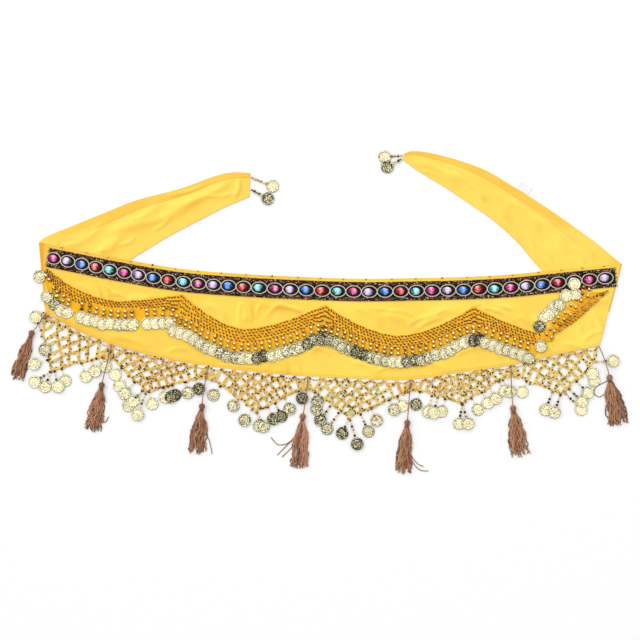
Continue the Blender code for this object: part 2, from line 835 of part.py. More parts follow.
def tip_drops(name, rows):
    """The two coins on threads at a tie's tip, joined by the thread in the hem."""
    bm = bmesh.new()
    first = place(rows[0][0], rows[0][1])
    second = place(rows[1][0], rows[1][1])
    height = Vector((0, 0, COIN_WALL / 2))
    add_rod(bm, first + height, second + height, THREAD_RADIUS, THREAD_RADIUS, BAR_SIDES)
    bar = add_object(name, finish_mesh(bm, name), "coin")
    drops = bmesh.new()
    for i, (start_x, start_y, coin_x, coin_y) in enumerate(rows):
        centre = place(coin_x, coin_y)
        start = place(start_x, start_y) + height
        add_coin(drops, centre + Vector((0, 0, FLOOR_CLEARANCE)), level(i))
        touch = centre - (centre - start).normalized() * COIN_RADIUS * THREAD_INTO_COIN
        touch.z = level(i) + COIN_WALL / 2
        add_rod(drops, start, touch, TIP_THREAD_RADIUS, THREAD_RADIUS, THREAD_SIDES)
    join(bar, drops)


def label():
    """The blank label that stands out from the tie's upper edge."""
    bm = bmesh.new()
    bmesh.ops.create_cube(bm, size=1)
    size = Matrix.Diagonal((LABEL_LENGTH, LABEL_WIDTH, LABEL_WALL, 1))
    turn = Matrix.Rotation(LABEL_TURN, 4, "Z")
    centre = place(LABEL_X, LABEL_Y) + Vector((0, 0, LABEL_WALL / 2))
    bmesh.ops.transform(bm, matrix=Matrix.Translation(centre) @ turn @ size, verts=bm.verts)
    add_object("label", finish_mesh(bm, "label"), "label")


def main():
    clear_scene()
    panel()
    tie("tie_left", TIE_LEFT)
    tie("tie_right", TIE_RIGHT)
    gem_ribbon()
    crochet_band()
    for number in range(len(POINTS)):
        net(number)
        net_coins(number)
    for number in range(len(TASSELS)):
        tassel(number)
    tip_drops("tip_drops_left", TIP_DROPS_LEFT)
    tip_drops("tip_drops_right", TIP_DROPS_RIGHT)
    label()


main()
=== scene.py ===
"""Belly dance hip scarf as it looks, on the frame of its CAD model.

Every piece stands for a node of the model and lies where that node lies. Tables are
in millimetres and repeat the part's own; +X runs along the scarf, +Y towards the
ties, +Z up, and the floor is z = 0.
"""
import bisect
import math
import random

import bmesh
import bpy
from mathutils import Matrix, Vector, noise


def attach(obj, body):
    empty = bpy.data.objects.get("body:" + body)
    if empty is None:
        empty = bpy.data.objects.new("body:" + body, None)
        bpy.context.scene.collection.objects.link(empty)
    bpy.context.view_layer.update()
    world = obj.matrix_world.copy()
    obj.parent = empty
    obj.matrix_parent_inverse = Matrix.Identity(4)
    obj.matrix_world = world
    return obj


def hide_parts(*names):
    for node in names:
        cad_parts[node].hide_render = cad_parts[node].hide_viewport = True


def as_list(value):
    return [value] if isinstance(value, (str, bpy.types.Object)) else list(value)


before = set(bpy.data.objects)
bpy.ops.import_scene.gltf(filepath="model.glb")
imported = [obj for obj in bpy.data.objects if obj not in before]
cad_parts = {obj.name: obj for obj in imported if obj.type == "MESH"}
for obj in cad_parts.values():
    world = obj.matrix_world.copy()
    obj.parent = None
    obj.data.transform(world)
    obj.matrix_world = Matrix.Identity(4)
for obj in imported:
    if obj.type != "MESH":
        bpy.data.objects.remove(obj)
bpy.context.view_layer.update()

MM = 0.001

# The middle of the whole outline in the tables' own millimetres
MIDDLE_X = 0.8
MIDDLE_Y = 0.0

# Walls and clearances
CLOTH = 1.2 * MM
SEAM = 0.3 * MM
YARN = 2.2 * MM
HEM_RAISE = 0.6 * MM

# Coins, and the thread that each hangs on
COIN_RADIUS = 10.0 * MM
COIN_WALL = 1.2 * MM
DROP_THREAD = 0.35 * MM

# The panel's sections from the left fold to the right one
PANEL = (
    (-447, 112, -437, 0),
    (-382, 99, -382, -30),
    (-318, 86, -318, -55),
    (-222, 70, -222, -78),
    (-126, 62, -126, -92),
    (-30, 57, -30, -101),
    (66, 54, 66, -106),
    (148, 55, 148, -107),
    (236, 57, 230, -95),
    (310, 61, 300, -85),
    (387, 69, 375, -68),
    (483, 78, 448, -53),
)
PANEL_CELLS = 33
FOLD_OPENING = 0.0005

# Where the panel rises over each tie: x at full height and x back on the floor
RISES = ((-290, -170), (345, 225))

# The ties' sections from the tip to the fold
TIE_LEFT = (
    (-110, 223, -111, 186),
    (-139, 224, -126, 179),
    (-170, 217, -152, 168),
    (-222, 198, -191, 148),
    (-290, 180, -242, 121),
    (-339, 161, -298, 87),
    (-393, 139, -358, 54),
    (-437, 121, -414, 25),
    (-447, 112, -438, 12),
)
TIE_RIGHT = (
    (135, 253, 134, 245),
    (149, 258, 149, 233),
    (178, 255, 174, 217),
    (224, 243, 205, 198),
    (269, 226, 242, 173),
    (311, 201, 278, 148),
    (354, 174, 317, 113),
    (401, 142, 355, 69),
    (445, 110, 405, 26),
    (483, 78, 463, 2),
)

# The doubled hem: its share of a tie's width, and where along the tie it fades out
HEM_SHARE = 0.22
HEM_END = 0.72
HEM_FADE = 0.2

# The gem ribbon, measured down from the panel's top edge
RIBBON_INSET = 5.4 * MM
RIBBON_WIDTH = 30.6 * MM
RIBBON_START = 19 * MM
RIBBON_END = 11.5 * MM

# The gems lie closer at the left: number of a gem and its x, with even steps between
GEM_PLACES = ((0, -424.2), (6, -288.3), (13, -120.6), (36, 457.6))

# The crochet band's sewn edge: its peaks, and the low point after each of them
PEAKS = ((-434, 69), (-218, 29), (10, 13), (247, 10), (461, 34))
LOWS = (
    (-314, 18, 1.9, 1.4),
    (-117, -26, 1.7, 1.6),
    (127, -37, 1.7, 1.7),
    (372, -36, 1.5, 1.35),
)
TURN_X = 356
TURNED_START_X = 379
BAND_WIDTH = 19.5 * MM
TURNED_TAPER = 0.85
TURNED_TIP = 1.0 * MM
COIN_REACH = 42 * MM
COIN_PITCH = 12 * MM
COIN_HEIGHT = 1.9 * MM
COIN_LEAN = 6.5

# The two coins before the row, and the bare lengths at the row's ends
FIRST_COINS = ((-446, 58), (-434.5, 25.5))
ROW_START_BARE = 48 * MM
ROW_END_BARE = 9 * MM

# The coin at the turn
TURN_COIN = (354, -54)

# The span over which the band's direction is evened out
NORMAL_SPAN = 26 * MM

# The crochet is narrower at its start: x of its start and of its full width, and the
# share of the width at the start
START_X = (-434, -395)
START_SHARE = 0.45

# How far the crochet and its coins reach, as a share of their widths at x
REACH_SHARES = (
    (-385, 1.0), (-360, 0.9), (-290, 0.9), (-235, 0.97), (-190, 1.1), (-50, 1.13), (0, 1.03),
    (240, 1.0),
)

# The crochet is wider below each inner peak
PEAK_FILL = 12 * MM
PEAK_SPAN = 36 * MM
BARE_X = (-386, -286)
BARE_HALF = 6

# The net: x of the junctions along the panel's lower edge, and the six points
JUNCTION_X = (-436, -331, -176, -18, 146, 307, 447)
POINTS = (
    (6, -427, -92),
    (8, -276, -125),
    (8, -101, -157),
    (8, 48, -167),
    (8, 229, -143),
    (7, 388, -129),
)
JUNCTION_MARGIN = 2.0 * MM
SIDE_DEPTH = 0.25

# Where the coins of each point lie on the floor, as x and y
POINT_COINS = (
    ((-453, -7), (-438, -59), (-455, -82), (-455, -111), (-438, -118), (-417, -118),
     (-406, -109), (-373, -102), (-358, -93), (-341, -86)),
    ((-326, -99), (-319, -117), (-311, -129), (-305, -149), (-297, -141), (-290, -163),
     (-267, -146), (-246, -135), (-237, -135), (-230, -132), (-210, -128), (-192, -122)),
    ((-169, -132), (-137, -149), (-119, -172), (-96, -181), (-89, -182), (-73, -170),
     (-60, -166), (-47, -154), (-27, -137)),
    ((-3, -142), (-4, -154), (2, -172), (13, -186), (37, -193), (61, -210),
     (79, -190), (92, -172), (120, -155), (133, -149)),
    ((155, -147), (174, -158), (183, -160), (196, -158), (224, -177), (238, -177),
     (254, -155), (270, -144), (282, -137), (297, -125), (305, -126)),
    ((325, -127), (362, -155), (376, -159), (419, -155), (420, -142), (429, -128),
     (440, -109), (437, -97), (470, -77)),
)

# The tassels: the middle of the head, the middle of the foot, and the foot's width
TASSELS = (
    (-459, -33, -484, -108, 23),
    (-347, -116, -363, -190, 26),
    (-187, -150, -197, -227, 30),
    (-26, -166, -32, -249, 32),
    (141, -176, 135, -258, 25),
    (310, -153, 321, -231, 29),
    (464, -104, 480, -181, 33),
)
HEAD_RADIUS = 4.6 * MM
FLOOR_CLEARANCE = 0.1 * MM
CORD_RADIUS = 0.8 * MM

# The coins on threads at the ties' tips: where each starts, and where its coin lies
TIP_DROPS_LEFT = ((-109, 216, -74, 202), (-109, 197, -82, 182))
TIP_DROPS_RIGHT = ((133.8, 251, 105, 249), (133.2, 246, 109, 233))

# The blank label at the right tie's upper edge
LABEL_X = 329
LABEL_Y = 198.8
LABEL_LENGTH = 20 * MM
LABEL_WIDTH = 14 * MM
LABEL_TURN = -0.565

# How finely the cloth pieces are divided
CROCHET_STEP = 1.3 * MM
CROCHET_ROWS = 26
PANEL_FINE = 380
PANEL_FINE_ROWS = 80
TIE_FINE = 150
TIE_FINE_ROWS = 40
FOLD_FINE = 8
RIBBON_FINE = 420

# The panel is flat below the ribbon, and its folds begin past it (mm from its top edge)
FLAT_TO = 38
FOLDS_FADE = 14
# x from which the panel's colour deepens towards its left end, and x of the left fold, where
# shade is painted
LEFT_DEEP = -424
LEFT_FOLD = -437

# The photograph: mm a pixel, and the pixel at the tables' zero
PIXEL = 1.6
PHOTO_X = 319
PHOTO_Y = 312.5

CREASE_DEPTH = 1.5
CREASE_REACH = 110
CREASE_STEP = 1.3 * MM
# How strong the painted shade is on the side of each fold away from the light
CREASE_DARK = 0.42
PAST_END = 0.3
END_FADE = 0.5
BOW = 0.6

# Soft folds: start x and y, end x and y, height, half width (mm)
PANEL_CREASES = (
    (-69, 10, -30, 1, 1.1, 6), (-121, 22, -119, -14, 0.8, 8), (-48, 21, -91, 14, 0.7, 6),
    (-65, -74, -52, -96, 0.9, 5), (-400, 40, -372, -8, 0.9, 7), (-368, 44, -338, 0, 0.9, 7),
    (-300, 22, -262, 12, 0.9, 7), (-250, 34, -240, 8, 0.7, 7), (-180, 12, -150, -10, 0.9, 7),
    (-20, 16, 20, 22, 0.6, 6), (60, 10, 96, -16, 1.0, 8), (110, -4, 150, -24, 0.9, 7),
    (170, -12, 214, 2, 0.9, 7), (230, 14, 268, 10, 0.7, 6), (290, 12, 330, -18, 1.0, 8),
    (345, -10, 380, -26, 0.9, 7), (380, 24, 404, 2, 0.9, 7), (420, 10, 456, 18, 0.9, 7),
    (436, 2, 452, -36, 1.0, 6), (-420, -6, -384, -22, 0.9, 6), (-330, -38, -280, -52, 0.8, 6),
    (-200, -44, -170, -72, 0.8, 6), (-12, -60, 24, -44, 0.9, 7), (60, -78, 92, -98, 0.9, 6),
    (160, -78, 204, -92, 0.8, 6), (250, -52, 290, -70, 0.9, 7), (330, -64, 366, -58, 0.8, 6),
    (-364, 53, -349, 25, 0.6, 3.2), (-349, 48, -335, 23, 0.7, 3.4),
    (-339, 41, -316, 18, 0.7, 3.2), (-371, 39, -356, 23, 0.5, 3), (-328, 32, -303, 18, 0.6, 3.4),
    (-384, 46, -372, 30, 0.5, 3), (-286, 18, -266, 26, 0.5, 3.4), (-69, 14, -34, 4, 0.8, 3.2),
    (-58, 22, -40, 26, 0.4, 3), (-140, 24, -104, 20, 0.5, 3.4), (-100, -4, -88, 20, 0.5, 3.2),
    (-84, -6, -60, 16, 0.5, 3), (-128, -16, -124, 16, 0.5, 2.8), (-112, 16, -109, -14, 0.4, 2.8),
    (-20, 20, 10, 28, 0.5, 3.4), (30, 22, 60, 8, 0.5, 3.4), (48, 26, 78, 10, 0.6, 3.4),
    (84, 6, 120, 2, 0.5, 3), (120, 4, 152, -6, 0.6, 3.4), (146, -18, 176, -6, 0.6, 3.4),
    (156, -26, 196, -8, 0.6, 3.4), (186, -4, 208, 8, 0.5, 3), (236, 4, 256, 14, 0.5, 3),
    (262, 6, 288, 2, 0.6, 3.4), (280, 4, 312, -14, 0.7, 3.6), (272, 14, 306, 6, 0.5, 3),
    (318, -6, 340, -22, 0.6, 3.4), (398, -2, 420, -30, 0.7, 4), (414, 6, 438, -18, 0.7, 4),
    (424, -44, 448, -30, 0.6, 3.6), (396, -50, 430, -62, 0.6, 4), (-392, 0, -356, -16, 0.5, 3.4),
    (-240, -62, -214, -58, 0.5, 3.4), (-70, -76, -60, -92, 0.6, 3.2),
    (-44, -72, -30, -94, 0.5, 3.2), (-6, -56, 16, -66, 0.6, 3.4), (96, -92, 120, -88, 0.5, 3.4),
    (222, -68, 246, -58, 0.5, 3.4),
)
TIE_LEFT_CREASES = (
    (-150, 205, -230, 172, 1.0, 7), (-200, 178, -290, 140, 1.1, 8),
    (-260, 168, -330, 130, 0.9, 8), (-320, 120, -372, 84, 1.1, 8), (-350, 136, -410, 104, 0.9, 7),
    (-128, 212, -134, 186, 0.8, 4), (-140, 190, -176, 186, 0.5, 3.4),
    (-190, 200, -236, 188, 0.5, 3), (-240, 150, -262, 132, 0.5, 3.4),
    (-276, 158, -300, 150, 0.5, 3.4), (-296, 118, -318, 108, 0.5, 3.4),
    (-340, 112, -352, 96, 0.6, 3.4), (-372, 128, -398, 118, 0.5, 3.4),
    (-384, 96, -404, 82, 0.6, 3.4), (-420, 110, -432, 88, 0.6, 3.6),
)
TIE_RIGHT_CREASES = (
    (160, 240, 214, 212, 0.9, 7), (214, 222, 262, 190, 1.1, 8), (262, 190, 300, 150, 1.1, 8),
    (310, 176, 348, 134, 1.0, 8), (350, 150, 392, 104, 1.1, 8), (392, 126, 436, 92, 1.0, 7),
    (168, 226, 196, 214, 0.5, 3.4), (206, 234, 236, 222, 0.5, 3), (244, 204, 262, 180, 0.6, 3.4),
    (286, 190, 306, 172, 0.5, 3.4), (300, 140, 318, 118, 0.5, 3.4),
    (330, 130, 344, 104, 0.6, 3.4), (366, 146, 390, 128, 0.5, 3.4), (352, 108, 372, 88, 0.6, 3.4),
    (404, 104, 424, 84, 0.6, 3.6),
)

# A hem stitch with the gap after it
STITCH = 5.0 * MM

# The ribbon's top, borders, fringe, rings and stones
RIBBON_TOP = 0.9 * MM
BORDER_FROM = 9.4 * MM
FRINGE_THREADS = 26
RING_SHARE = 0.985
RING_WIDTH = 18.4 * MM
RING_CELLS = 26
RING_CORD = 0.75 * MM
RING_HEIGHT = 1.35 * MM
STONE_LENGTH = 15.6 * MM
STONE_WIDTH = 11.6 * MM
STONE_SIDES = 12
GEM_SHIFT = 1.8 * MM

# The crochet's loops and tongues, its seeds, and the beads by their radius
CROCHET_TOP = 0.8 * MM
CROCHET_UNDER = 0.05 * MM
LOOP_PITCH = 3.4 * MM
LOOP_ROW = 2.9 * MM
TONGUE_ROOT = BAND_WIDTH + 5.0 * MM
TONGUE_REACH = 38 * MM
TURNED_REACH = 17 * MM
EDGE_BEAD = 1.5 * MM
EDGE_BEADS = (62, 86.5, 108, 130.9, 152.8, 175.2, 198.1, 221, 245.8, 272, 297.7, 320.5, 343.3,
              365.8, 391.5, 415.4, 442, 466.7, 489.5, 512.6, 538.2, 561.1, 581.9, 603.5)
ROUND_BEAD = 3.3 * MM
BEADS_BACK = (14.0 * MM, 21.2 * MM)
PAIRS_CLOSER = 0.24
PAIRS_REACH = 45 * MM
SEED_PITCH = 5.3 * MM
SEED_ROW = 4.1 * MM
FIRST_SEEDS = 2.2 * MM
SEEDS_REACH = 24 * MM
CORNER_LOOPS = ((38.8, 313.2), (41.6, 314.6), (40.2, 317.0), (44.4, 313.6), (44.0, 317.4),
                (46.8, 316.2), (47.4, 319.4), (50.2, 318.0), (50.8, 321.2), (45.0, 320.6))
FIRST_BEADS = ((46.6, 275.6), (50, 279.6), (54.8, 288.2), (51.8, 292.6), (58.2, 291.8),
               (57, 296.2))
DROP_BEAD = 2.0 * MM
NET_BEAD = 1.3 * MM
NET_HEIGHT = 1.4 * MM
NET_JITTER = 2.8 * MM
HEADER_YARN = 0.8 * MM
KNOT_YARN = 0.6 * MM
ARCH_PITCH = 19.7 * MM
ARCH_DEPTH = 4.6 * MM
CORNER_ROWS = 3

# Painted dark reflection, how dark each coin looks: photo x ranges on the band, and places on the
# points
PAINTED_REFLECTION_RUNS = (
    (50, 60, 0.6), (60, 80, 0.0), (80, 117, 0.05), (117, 126, 0.3), (126, 130, 0.85),
    (130, 198, 0.05), (198, 214, 0.25), (214, 239, 0.5), (239, 256, 0.1), (256, 268, 0.95),
    (268, 287, 0.2), (287, 306, 0.4), (306, 333, 0.8), (333, 351, 0.5), (351, 365, 1.0),
    (365, 388, 0.4), (388, 403, 0.0), (403, 417, 0.85), (417, 436, 0.55), (436, 461, 0.3),
    (461, 472, 0.05), (472, 486, 1.0), (486, 523, 0.05), (523, 540, 0.35),
)
PAINTED_COIN_REFLECTIONS = {
    (-438, -59): 0.45, (-237, -135): 0.9, (-230, -132): 1.0, (-210, -128): 0.4, (-192, -122): 1.0,
    (-169, -132): 0.4, (-137, -149): 0.35, (-119, -172): 0.45, (-96, -181): 0.3,
    (-89, -182): 0.4, (-73, -170): 0.85, (-60, -166): 0.9, (-47, -154): 0.55, (-27, -137): 1.0,
    (-3, -142): 0.6, (-4, -154): 0.5, (2, -172): 0.7, (13, -186): 0.5, (37, -193): 0.9,
    (61, -210): 0.9, (79, -190): 0.45, (92, -172): 0.4, (120, -155): 0.3, (155, -147): 0.8,
}

# The turned stretch by photo pixels: coins with the height below them and their painted
# dark reflection, and its small round beads
TURNED_COINS = (
    (539.1, 326.5, 1.4, 0.8), (543.6, 316.3, 0.9, 0.1), (548.0, 314.4, 2.0, 0.05),
    (551.9, 311.0, 0.5, 0.1), (553.8, 306.1, 1.4, 0.05), (558.3, 304.8, 2.6, 0.3),
    (565.3, 295.6, 3.3, 0.05), (574.8, 294.6, 2.2, 0.1), (573.6, 284.1, 4.3, 0.0),
)
TURNED_TONGUES = (
    (585.7, 293.4, 581.2, 289.5), (586.3, 299.1, 579, 295.4), (581, 304.8, 570.7, 299.2),
    (576.8, 310.6, 565.6, 307.5), (569.7, 317, 557.8, 313.6), (564.4, 322.4, 554.7, 318.5),
    (558.9, 327.6, 549.6, 323), (553.8, 334.6, 543.6, 330.6),
)
TURNED_BEADS = (
    (583, 287), (588.5, 289.5), (581.5, 293.5), (587, 296), (575.5, 299), (580.5, 300.5),
    (570, 305), (575, 307), (564.5, 312.5), (569.5, 314.5), (557.5, 317.5), (563.5, 319),
    (553, 322), (559, 324), (549.5, 329), (553.5, 331), (546, 334), (551, 337),
)

# Where the crochet bends over: photo pixels, half length and width in mm, and turn
FOLD_PATCHES = ((546.5, 336, 13, 8.5, -0.5), (540, 337, 9, 9, 0.1), (551, 333, 8, 5, 0.6))

# Tassel threads, and single loose ones by photo pixels
TASSEL_THREADS = 38
STRAND_THICK = 1.02 * MM
TASSEL_EXTRAS = {
    1: (((16, 360), (13, 367), (15, 374), (13, 380)),),
    2: (((98, 412), (101.3, 420.2), (103.8, 422.3), (106.3, 421.1), (108.4, 416.5)),),
    3: (((201.5, 424), (203.9, 431.2), (209, 439.5), (212.1, 454)),),
    4: (((301, 425), (296.9, 433.3), (288.6, 442.6), (278.3, 444.7), (271, 437.4)),
        ((300, 428), (294.8, 437.4), (286.5, 445.7), (277.2, 455)),
        ((301, 430), (297, 441), (290, 449), (282, 457))),
    5: (((409, 442), (410.9, 454), (417.1, 463.3), (423.3, 466.4)),
        ((409, 446), (411.9, 460.2), (419.2, 469.5), (428.5, 470.9))),
    6: (((521, 436), (524.5, 445.7), (528.7, 451.9)),),
    7: (((609, 380), (603, 383), (596, 387), (594, 393), (599, 397), (604, 394)),),
}
# How dark the painted reflection is on each tip coin
TIP_PAINTED_REFLECTIONS = (0.15, 0.75)

# Light and camera
CAMERA = (0.0008, -0.012, 2.418)
LIGHTS = (
    ("key", (-1.3, 1.5, 2.4), 14.0, 2.0),
    ("fill", (0.9, 0.4, 2.9), 12.0, 2.8),
)
SKY_TOWARD = (-0.35, 0.45, 0.82)
SKY = ((0.0, 0.28), (0.3, 0.42), (0.62, 0.85), (0.9, 1.25))
SKY_STRENGTH = 1.08
FLOOR_HALF = 3.0
FLOOR_BELOW = 0.3 * MM
GEM_COLOURS = (
    ("gem_magenta", (0.78, 0.03, 0.32), (0.06, 0.0, 0.018)),
    ("gem_lilac", (0.74, 0.57, 0.88), (0.11, 0.06, 0.13)),
    ("gem_blue", (0.03, 0.26, 0.88), (0.003, 0.006, 0.07)),
    ("gem_red", (0.72, 0.008, 0.008), (0.08, 0.0, 0.0)),
    ("gem_aqua", (0.26, 0.78, 0.86), (0.01, 0.07, 0.09)),
)


def place(x, y):
    """A point of the tables in metres, in the part's own frame."""
    return Vector(((x - MIDDLE_X) * MM, (y - MIDDLE_Y) * MM, 0.0))


def up(height):
    """A shift straight up."""
    return Vector((0, 0, height))


def smooth_row(rows, share):
    """A row between the table's rows, on a smooth curve through all of them."""
    along = min(max(share, 0.0), 1.0) * (len(rows) - 1)
    index = min(int(along), len(rows) - 2)
    t = along - index
    before = rows[max(index - 1, 0)]
    start = rows[index]
    end = rows[index + 1]
    after = rows[min(index + 2, len(rows) - 1)]
    values = []
    for a, b, c, d in zip(before, start, end, after):
        bend = (2 * a - 5 * b + 4 * c - d) * t + (3 * b - a - 3 * c + d) * t * t
        values.append(b + 0.5 * t * ((c - a) + bend))
    return values


def smooth_step(share):
    """A soft rise from 0 to 1."""
    t = min(max(share, 0.0), 1.0)
    return t * t * (3 - 2 * t)


def lift(x):
    """Height of the panel's underside at x metres, over the ties and on the floor."""
    height = 0.0
    for full_x, flat_x in RISES:
        full = place(full_x, 0).x
        flat = place(flat_x, 0).x
        height = max(height, smooth_step((x - flat) / (full - flat)))
    return height * (CLOTH + SEAM)


def shares(count, start=0.0, end=1.0):
    """Even shares from start to end, for a number of cells."""
    return [start + (end - start) * i / count for i in range(count + 1)]


def from_photo(x, y):
    """A photo pixel as a place in plan."""
    return place((x - PHOTO_X) * PIXEL, (PHOTO_Y - y) * PIXEL)


class Path:
    """A row of points with the distance along it."""

    def __init__(self, points):
        self.points = list(points)
        self.total = [0.0]
        for a, b in zip(self.points, self.points[1:]):
            self.total.append(self.total[-1] + (b - a).length)
        self.length = self.total[-1]

    def at(self, distance):
        """The point at a distance along the row."""
        distance = min(max(distance, 0.0), self.length)
        index = bisect.bisect_left(self.total, distance) - 1
        index = min(max(index, 0), len(self.points) - 2)
        step = self.total[index + 1] - self.total[index]
        share = (distance - self.total[index]) / step
        return self.points[index].lerp(self.points[index + 1], share)

    def side(self, distance, span):
        """The direction to the right of the row, evened out over a span."""
        ahead = self.at(distance + span) - self.at(distance - span)
        return Vector((ahead.y, -ahead.x, 0)).normalized()

    def at_x(self, x):
        """The distance along the row at which it passes x metres."""
        for i, (a, b) in enumerate(zip(self.points, self.points[1:])):
            if a.x <= x <= b.x:
                step = self.total[i + 1] - self.total[i]
                return self.total[i] + step * (x - a.x) / (b.x - a.x)
        return 0.0 if x < self.points[0].x else self.length

    def nearest(self, target, steps=160):
        """The distance along the row at which it is nearest to a target."""
        distances = [self.length * i / steps for i in range(steps + 1)]
        return min(distances, key=lambda distance: (self.at(distance) - target).length)


def crease(x, y, creases):
    """Height of the soft folds at a place, in metres."""
    height = 0.0
    table_x = x / MM + MIDDLE_X
    table_y = y / MM + MIDDLE_Y
    for start_x, start_y, end_x, end_y, high, wide in creases:
        off_x = table_x - start_x
        if abs(off_x) > CREASE_REACH:
            continue
        off_y = table_y - start_y
        run_x = end_x - start_x
        run_y = end_y - start_y
        along = (off_x * run_x + off_y * run_y) / (run_x * run_x + run_y * run_y)
        if -PAST_END < along < 1 + PAST_END:
            aside = (off_x * run_y - off_y * run_x) / math.hypot(run_x, run_y)
            bow = BOW * wide * math.sin(math.pi * along)
            ends = smooth_step((along + PAST_END) / END_FADE)
            ends *= smooth_step((1 + PAST_END - along) / END_FADE)
            height += CREASE_DEPTH * high * ends * math.exp(-((aside + bow) / wide) ** 2)
    return height * MM


def crease_shade(x, y, creases):
    """How much darker the side of a fold is that faces away from the light."""
    lit = crease(x - CREASE_STEP, y + CREASE_STEP, creases)
    return (lit - crease(x + CREASE_STEP, y - CREASE_STEP, creases)) / MM


def unevenness(x, y, scale, seed):
    """Smooth noise from -1 to 1 over the plan."""
    return noise.noise(Vector((x * scale, y * scale, seed)))


def top_y(x):
    """The y of the panel's top edge at x metres."""
    edge = TOP_EDGE.points
    index = min(max(bisect.bisect_left(TOP_XS, x), 1), len(edge) - 1)
    a = edge[index - 1]
    b = edge[index]
    share = min(max((x - a.x) / (b.x - a.x), 0.0), 1.0)
    return a.y + (b.y - a.y) * share


def cloth_top(point):
    """Height of the panel's upper side at a place, folds included."""
    below = (top_y(point.x) - point.y) / MM
    free = smooth_step((below - FLAT_TO) / FOLDS_FADE)
    soft = 0.35 * MM * unevenness(point.x, point.y, 22, 3.1)
    folds = free * (crease(point.x, point.y, PANEL_CREASES) + soft + 0.3 * MM)
    return lift(point.x) + CLOTH + folds


def on_cloth(point, height=0.0):
    """A plan point raised to a height above the panel's upper side."""
    return Vector((point.x, point.y, cloth_top(point) + height))


def in_scene(name, data):
    """A new object in the scene."""
    made = bpy.data.objects.new(name, data)
    bpy.context.scene.collection.objects.link(made)
    return made


class Joined:
    """Many small things that become one mesh."""

    def __init__(self):
        self.places = []
        self.faces = []
        self.slots = []
        self.tones = []
        self.uvs = []
        self.flat = []

    def add(self, shape, matrix=None, slot=0, tone=0.0, flat=False):
        """One more copy of a shape: its places, faces, and uv of each place."""
        places, faces, uvs = shape
        base = len(self.places)
        self.places += [matrix @ p for p in places] if matrix else places
        self.faces += [[base + i for i in face] for face in faces]
        self.slots += [slot] * len(faces)
        self.flat += [flat] * len(faces)
        self.tones += tone if isinstance(tone, list) else [tone] * len(places)
        self.uvs += uvs or [(0.0, 0.0)] * len(places)

    def build(self, name, materials, nodes=(), slot=None, sharp=50):
        """The mesh as a piece on the frame."""
        mesh = bpy.data.meshes.new(name)
        mesh.from_pydata(self.places, [], self.faces)
        mesh.polygons.foreach_set("material_index", self.slots)
        mesh.polygons.foreach_set("use_smooth", [not flat for flat in self.flat])
        tones = mesh.attributes.new("tone", "FLOAT", "POINT")
        tones.data.foreach_set("value", self.tones)
        layer = mesh.uv_layers.new(name="UVMap")
        corners = [0] * len(mesh.loops)
        mesh.loops.foreach_get("vertex_index", corners)
        layer.data.foreach_set("uv", [part for i in corners for part in self.uvs[i]])
        turned_out = bmesh.new()
        turned_out.from_mesh(mesh)
        bmesh.ops.recalc_face_normals(turned_out, faces=turned_out.faces)
        turned_out.to_mesh(mesh)
        turned_out.free()
        if sharp:
            mesh.set_sharp_from_angle(angle=math.radians(sharp))
        for made in materials:
            mesh.materials.append(made)
        mesh.update()
        piece = in_scene(name, mesh)
        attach(piece, "root")
        if nodes:
            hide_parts(*nodes)
        return piece


def grid_shell(upper, under, along, across, tone):
    """A mesh that starts with a closed wall between two surfaces, uv in metres."""
    places = []
    uvs = []
    tones = []
    rows = len(across)
    for side in (upper, under):
        for u in along:
            for v in across:
                place_at, uv = side(u, v)
                places.append(place_at)
                uvs.append(uv)
                tones.append(tone(u, v))
    size = len(along) * rows
    faces = []
    for i in range(len(along) - 1):
        for j in range(rows - 1):
            a = i * rows + j
            b = a + rows
            faces.append([a, a + 1, b + 1, b])
            faces.append([a + size, b + size, b + 1 + size, a + 1 + size])
        for j, step in ((0, 1), (rows - 1, -1)):
            a = i * rows + j
            ring = [a, a + rows, a + rows + size, a + size]
            faces.append(ring if step > 0 else ring[::-1])
    for i, step in ((0, 1), (len(along) - 1, -1)):
        for j in range(rows - 1):
            a = i * rows + j
            ring = [a, a + size, a + 1 + size, a + 1]
            faces.append(ring if step > 0 else ring[::-1])
    sheet = Joined()
    sheet.add((places, faces, uvs), tone=tones)
    return sheet


def ball(columns, rows):
    """A ball of radius 1, with its faces outwards."""
    places = [up(1)]
    for r in range(1, rows):
        polar = math.pi * r / rows
        for c in range(columns):
            turn = math.tau * c / columns
            places.append(Vector((math.sin(polar) * math.cos(turn),
                                  math.sin(polar) * math.sin(turn), math.cos(polar))))
    places.append(up(-1))
    faces = []
    last = len(places) - 1
    for c in range(columns):
        d = (c + 1) % columns
        faces.append([0, 1 + c, 1 + d])
        for r in range(rows - 2):
            a = 1 + r * columns
            faces.append([a + c, a + columns + c, a + columns + d, a + d])
        a = 1 + (rows - 2) * columns
        faces.append([a + c, last, a + d])
    return places, faces, None


def wall(first, second, columns):
    """Faces between two rings, given by the numbers of their first places."""
    faces = []
    for c in range(columns):
        d = (c + 1) % columns
        faces.append([first + c, second + c, second + d, first + d])
    return faces


def capped(rings, columns):
    """Faces of a row of rings that is closed at both ends."""
    faces = [list(range(columns))]
    for r in range(rings - 1):
        faces += wall(r * columns, (r + 1) * columns, columns)
    last = (rings - 1) * columns
    faces.append([last + c for c in reversed(range(columns))])
    return faces


def turned(profile, columns, ripple):
    """A solid turned about z from (radius, height) rows, from its top to its underside."""
    places = []
    uvs = []
    for radius, height in profile:
        for c in range(columns):
            turn = math.tau * c / columns
            x = radius * math.cos(turn)
            y = radius * math.sin(turn)
            places.append(Vector((x, y, height + ripple(radius, turn))))
            uvs.append((0.5 + 0.5 * x, 0.5 + 0.5 * y))
    return places, capped(len(profile), columns), uvs


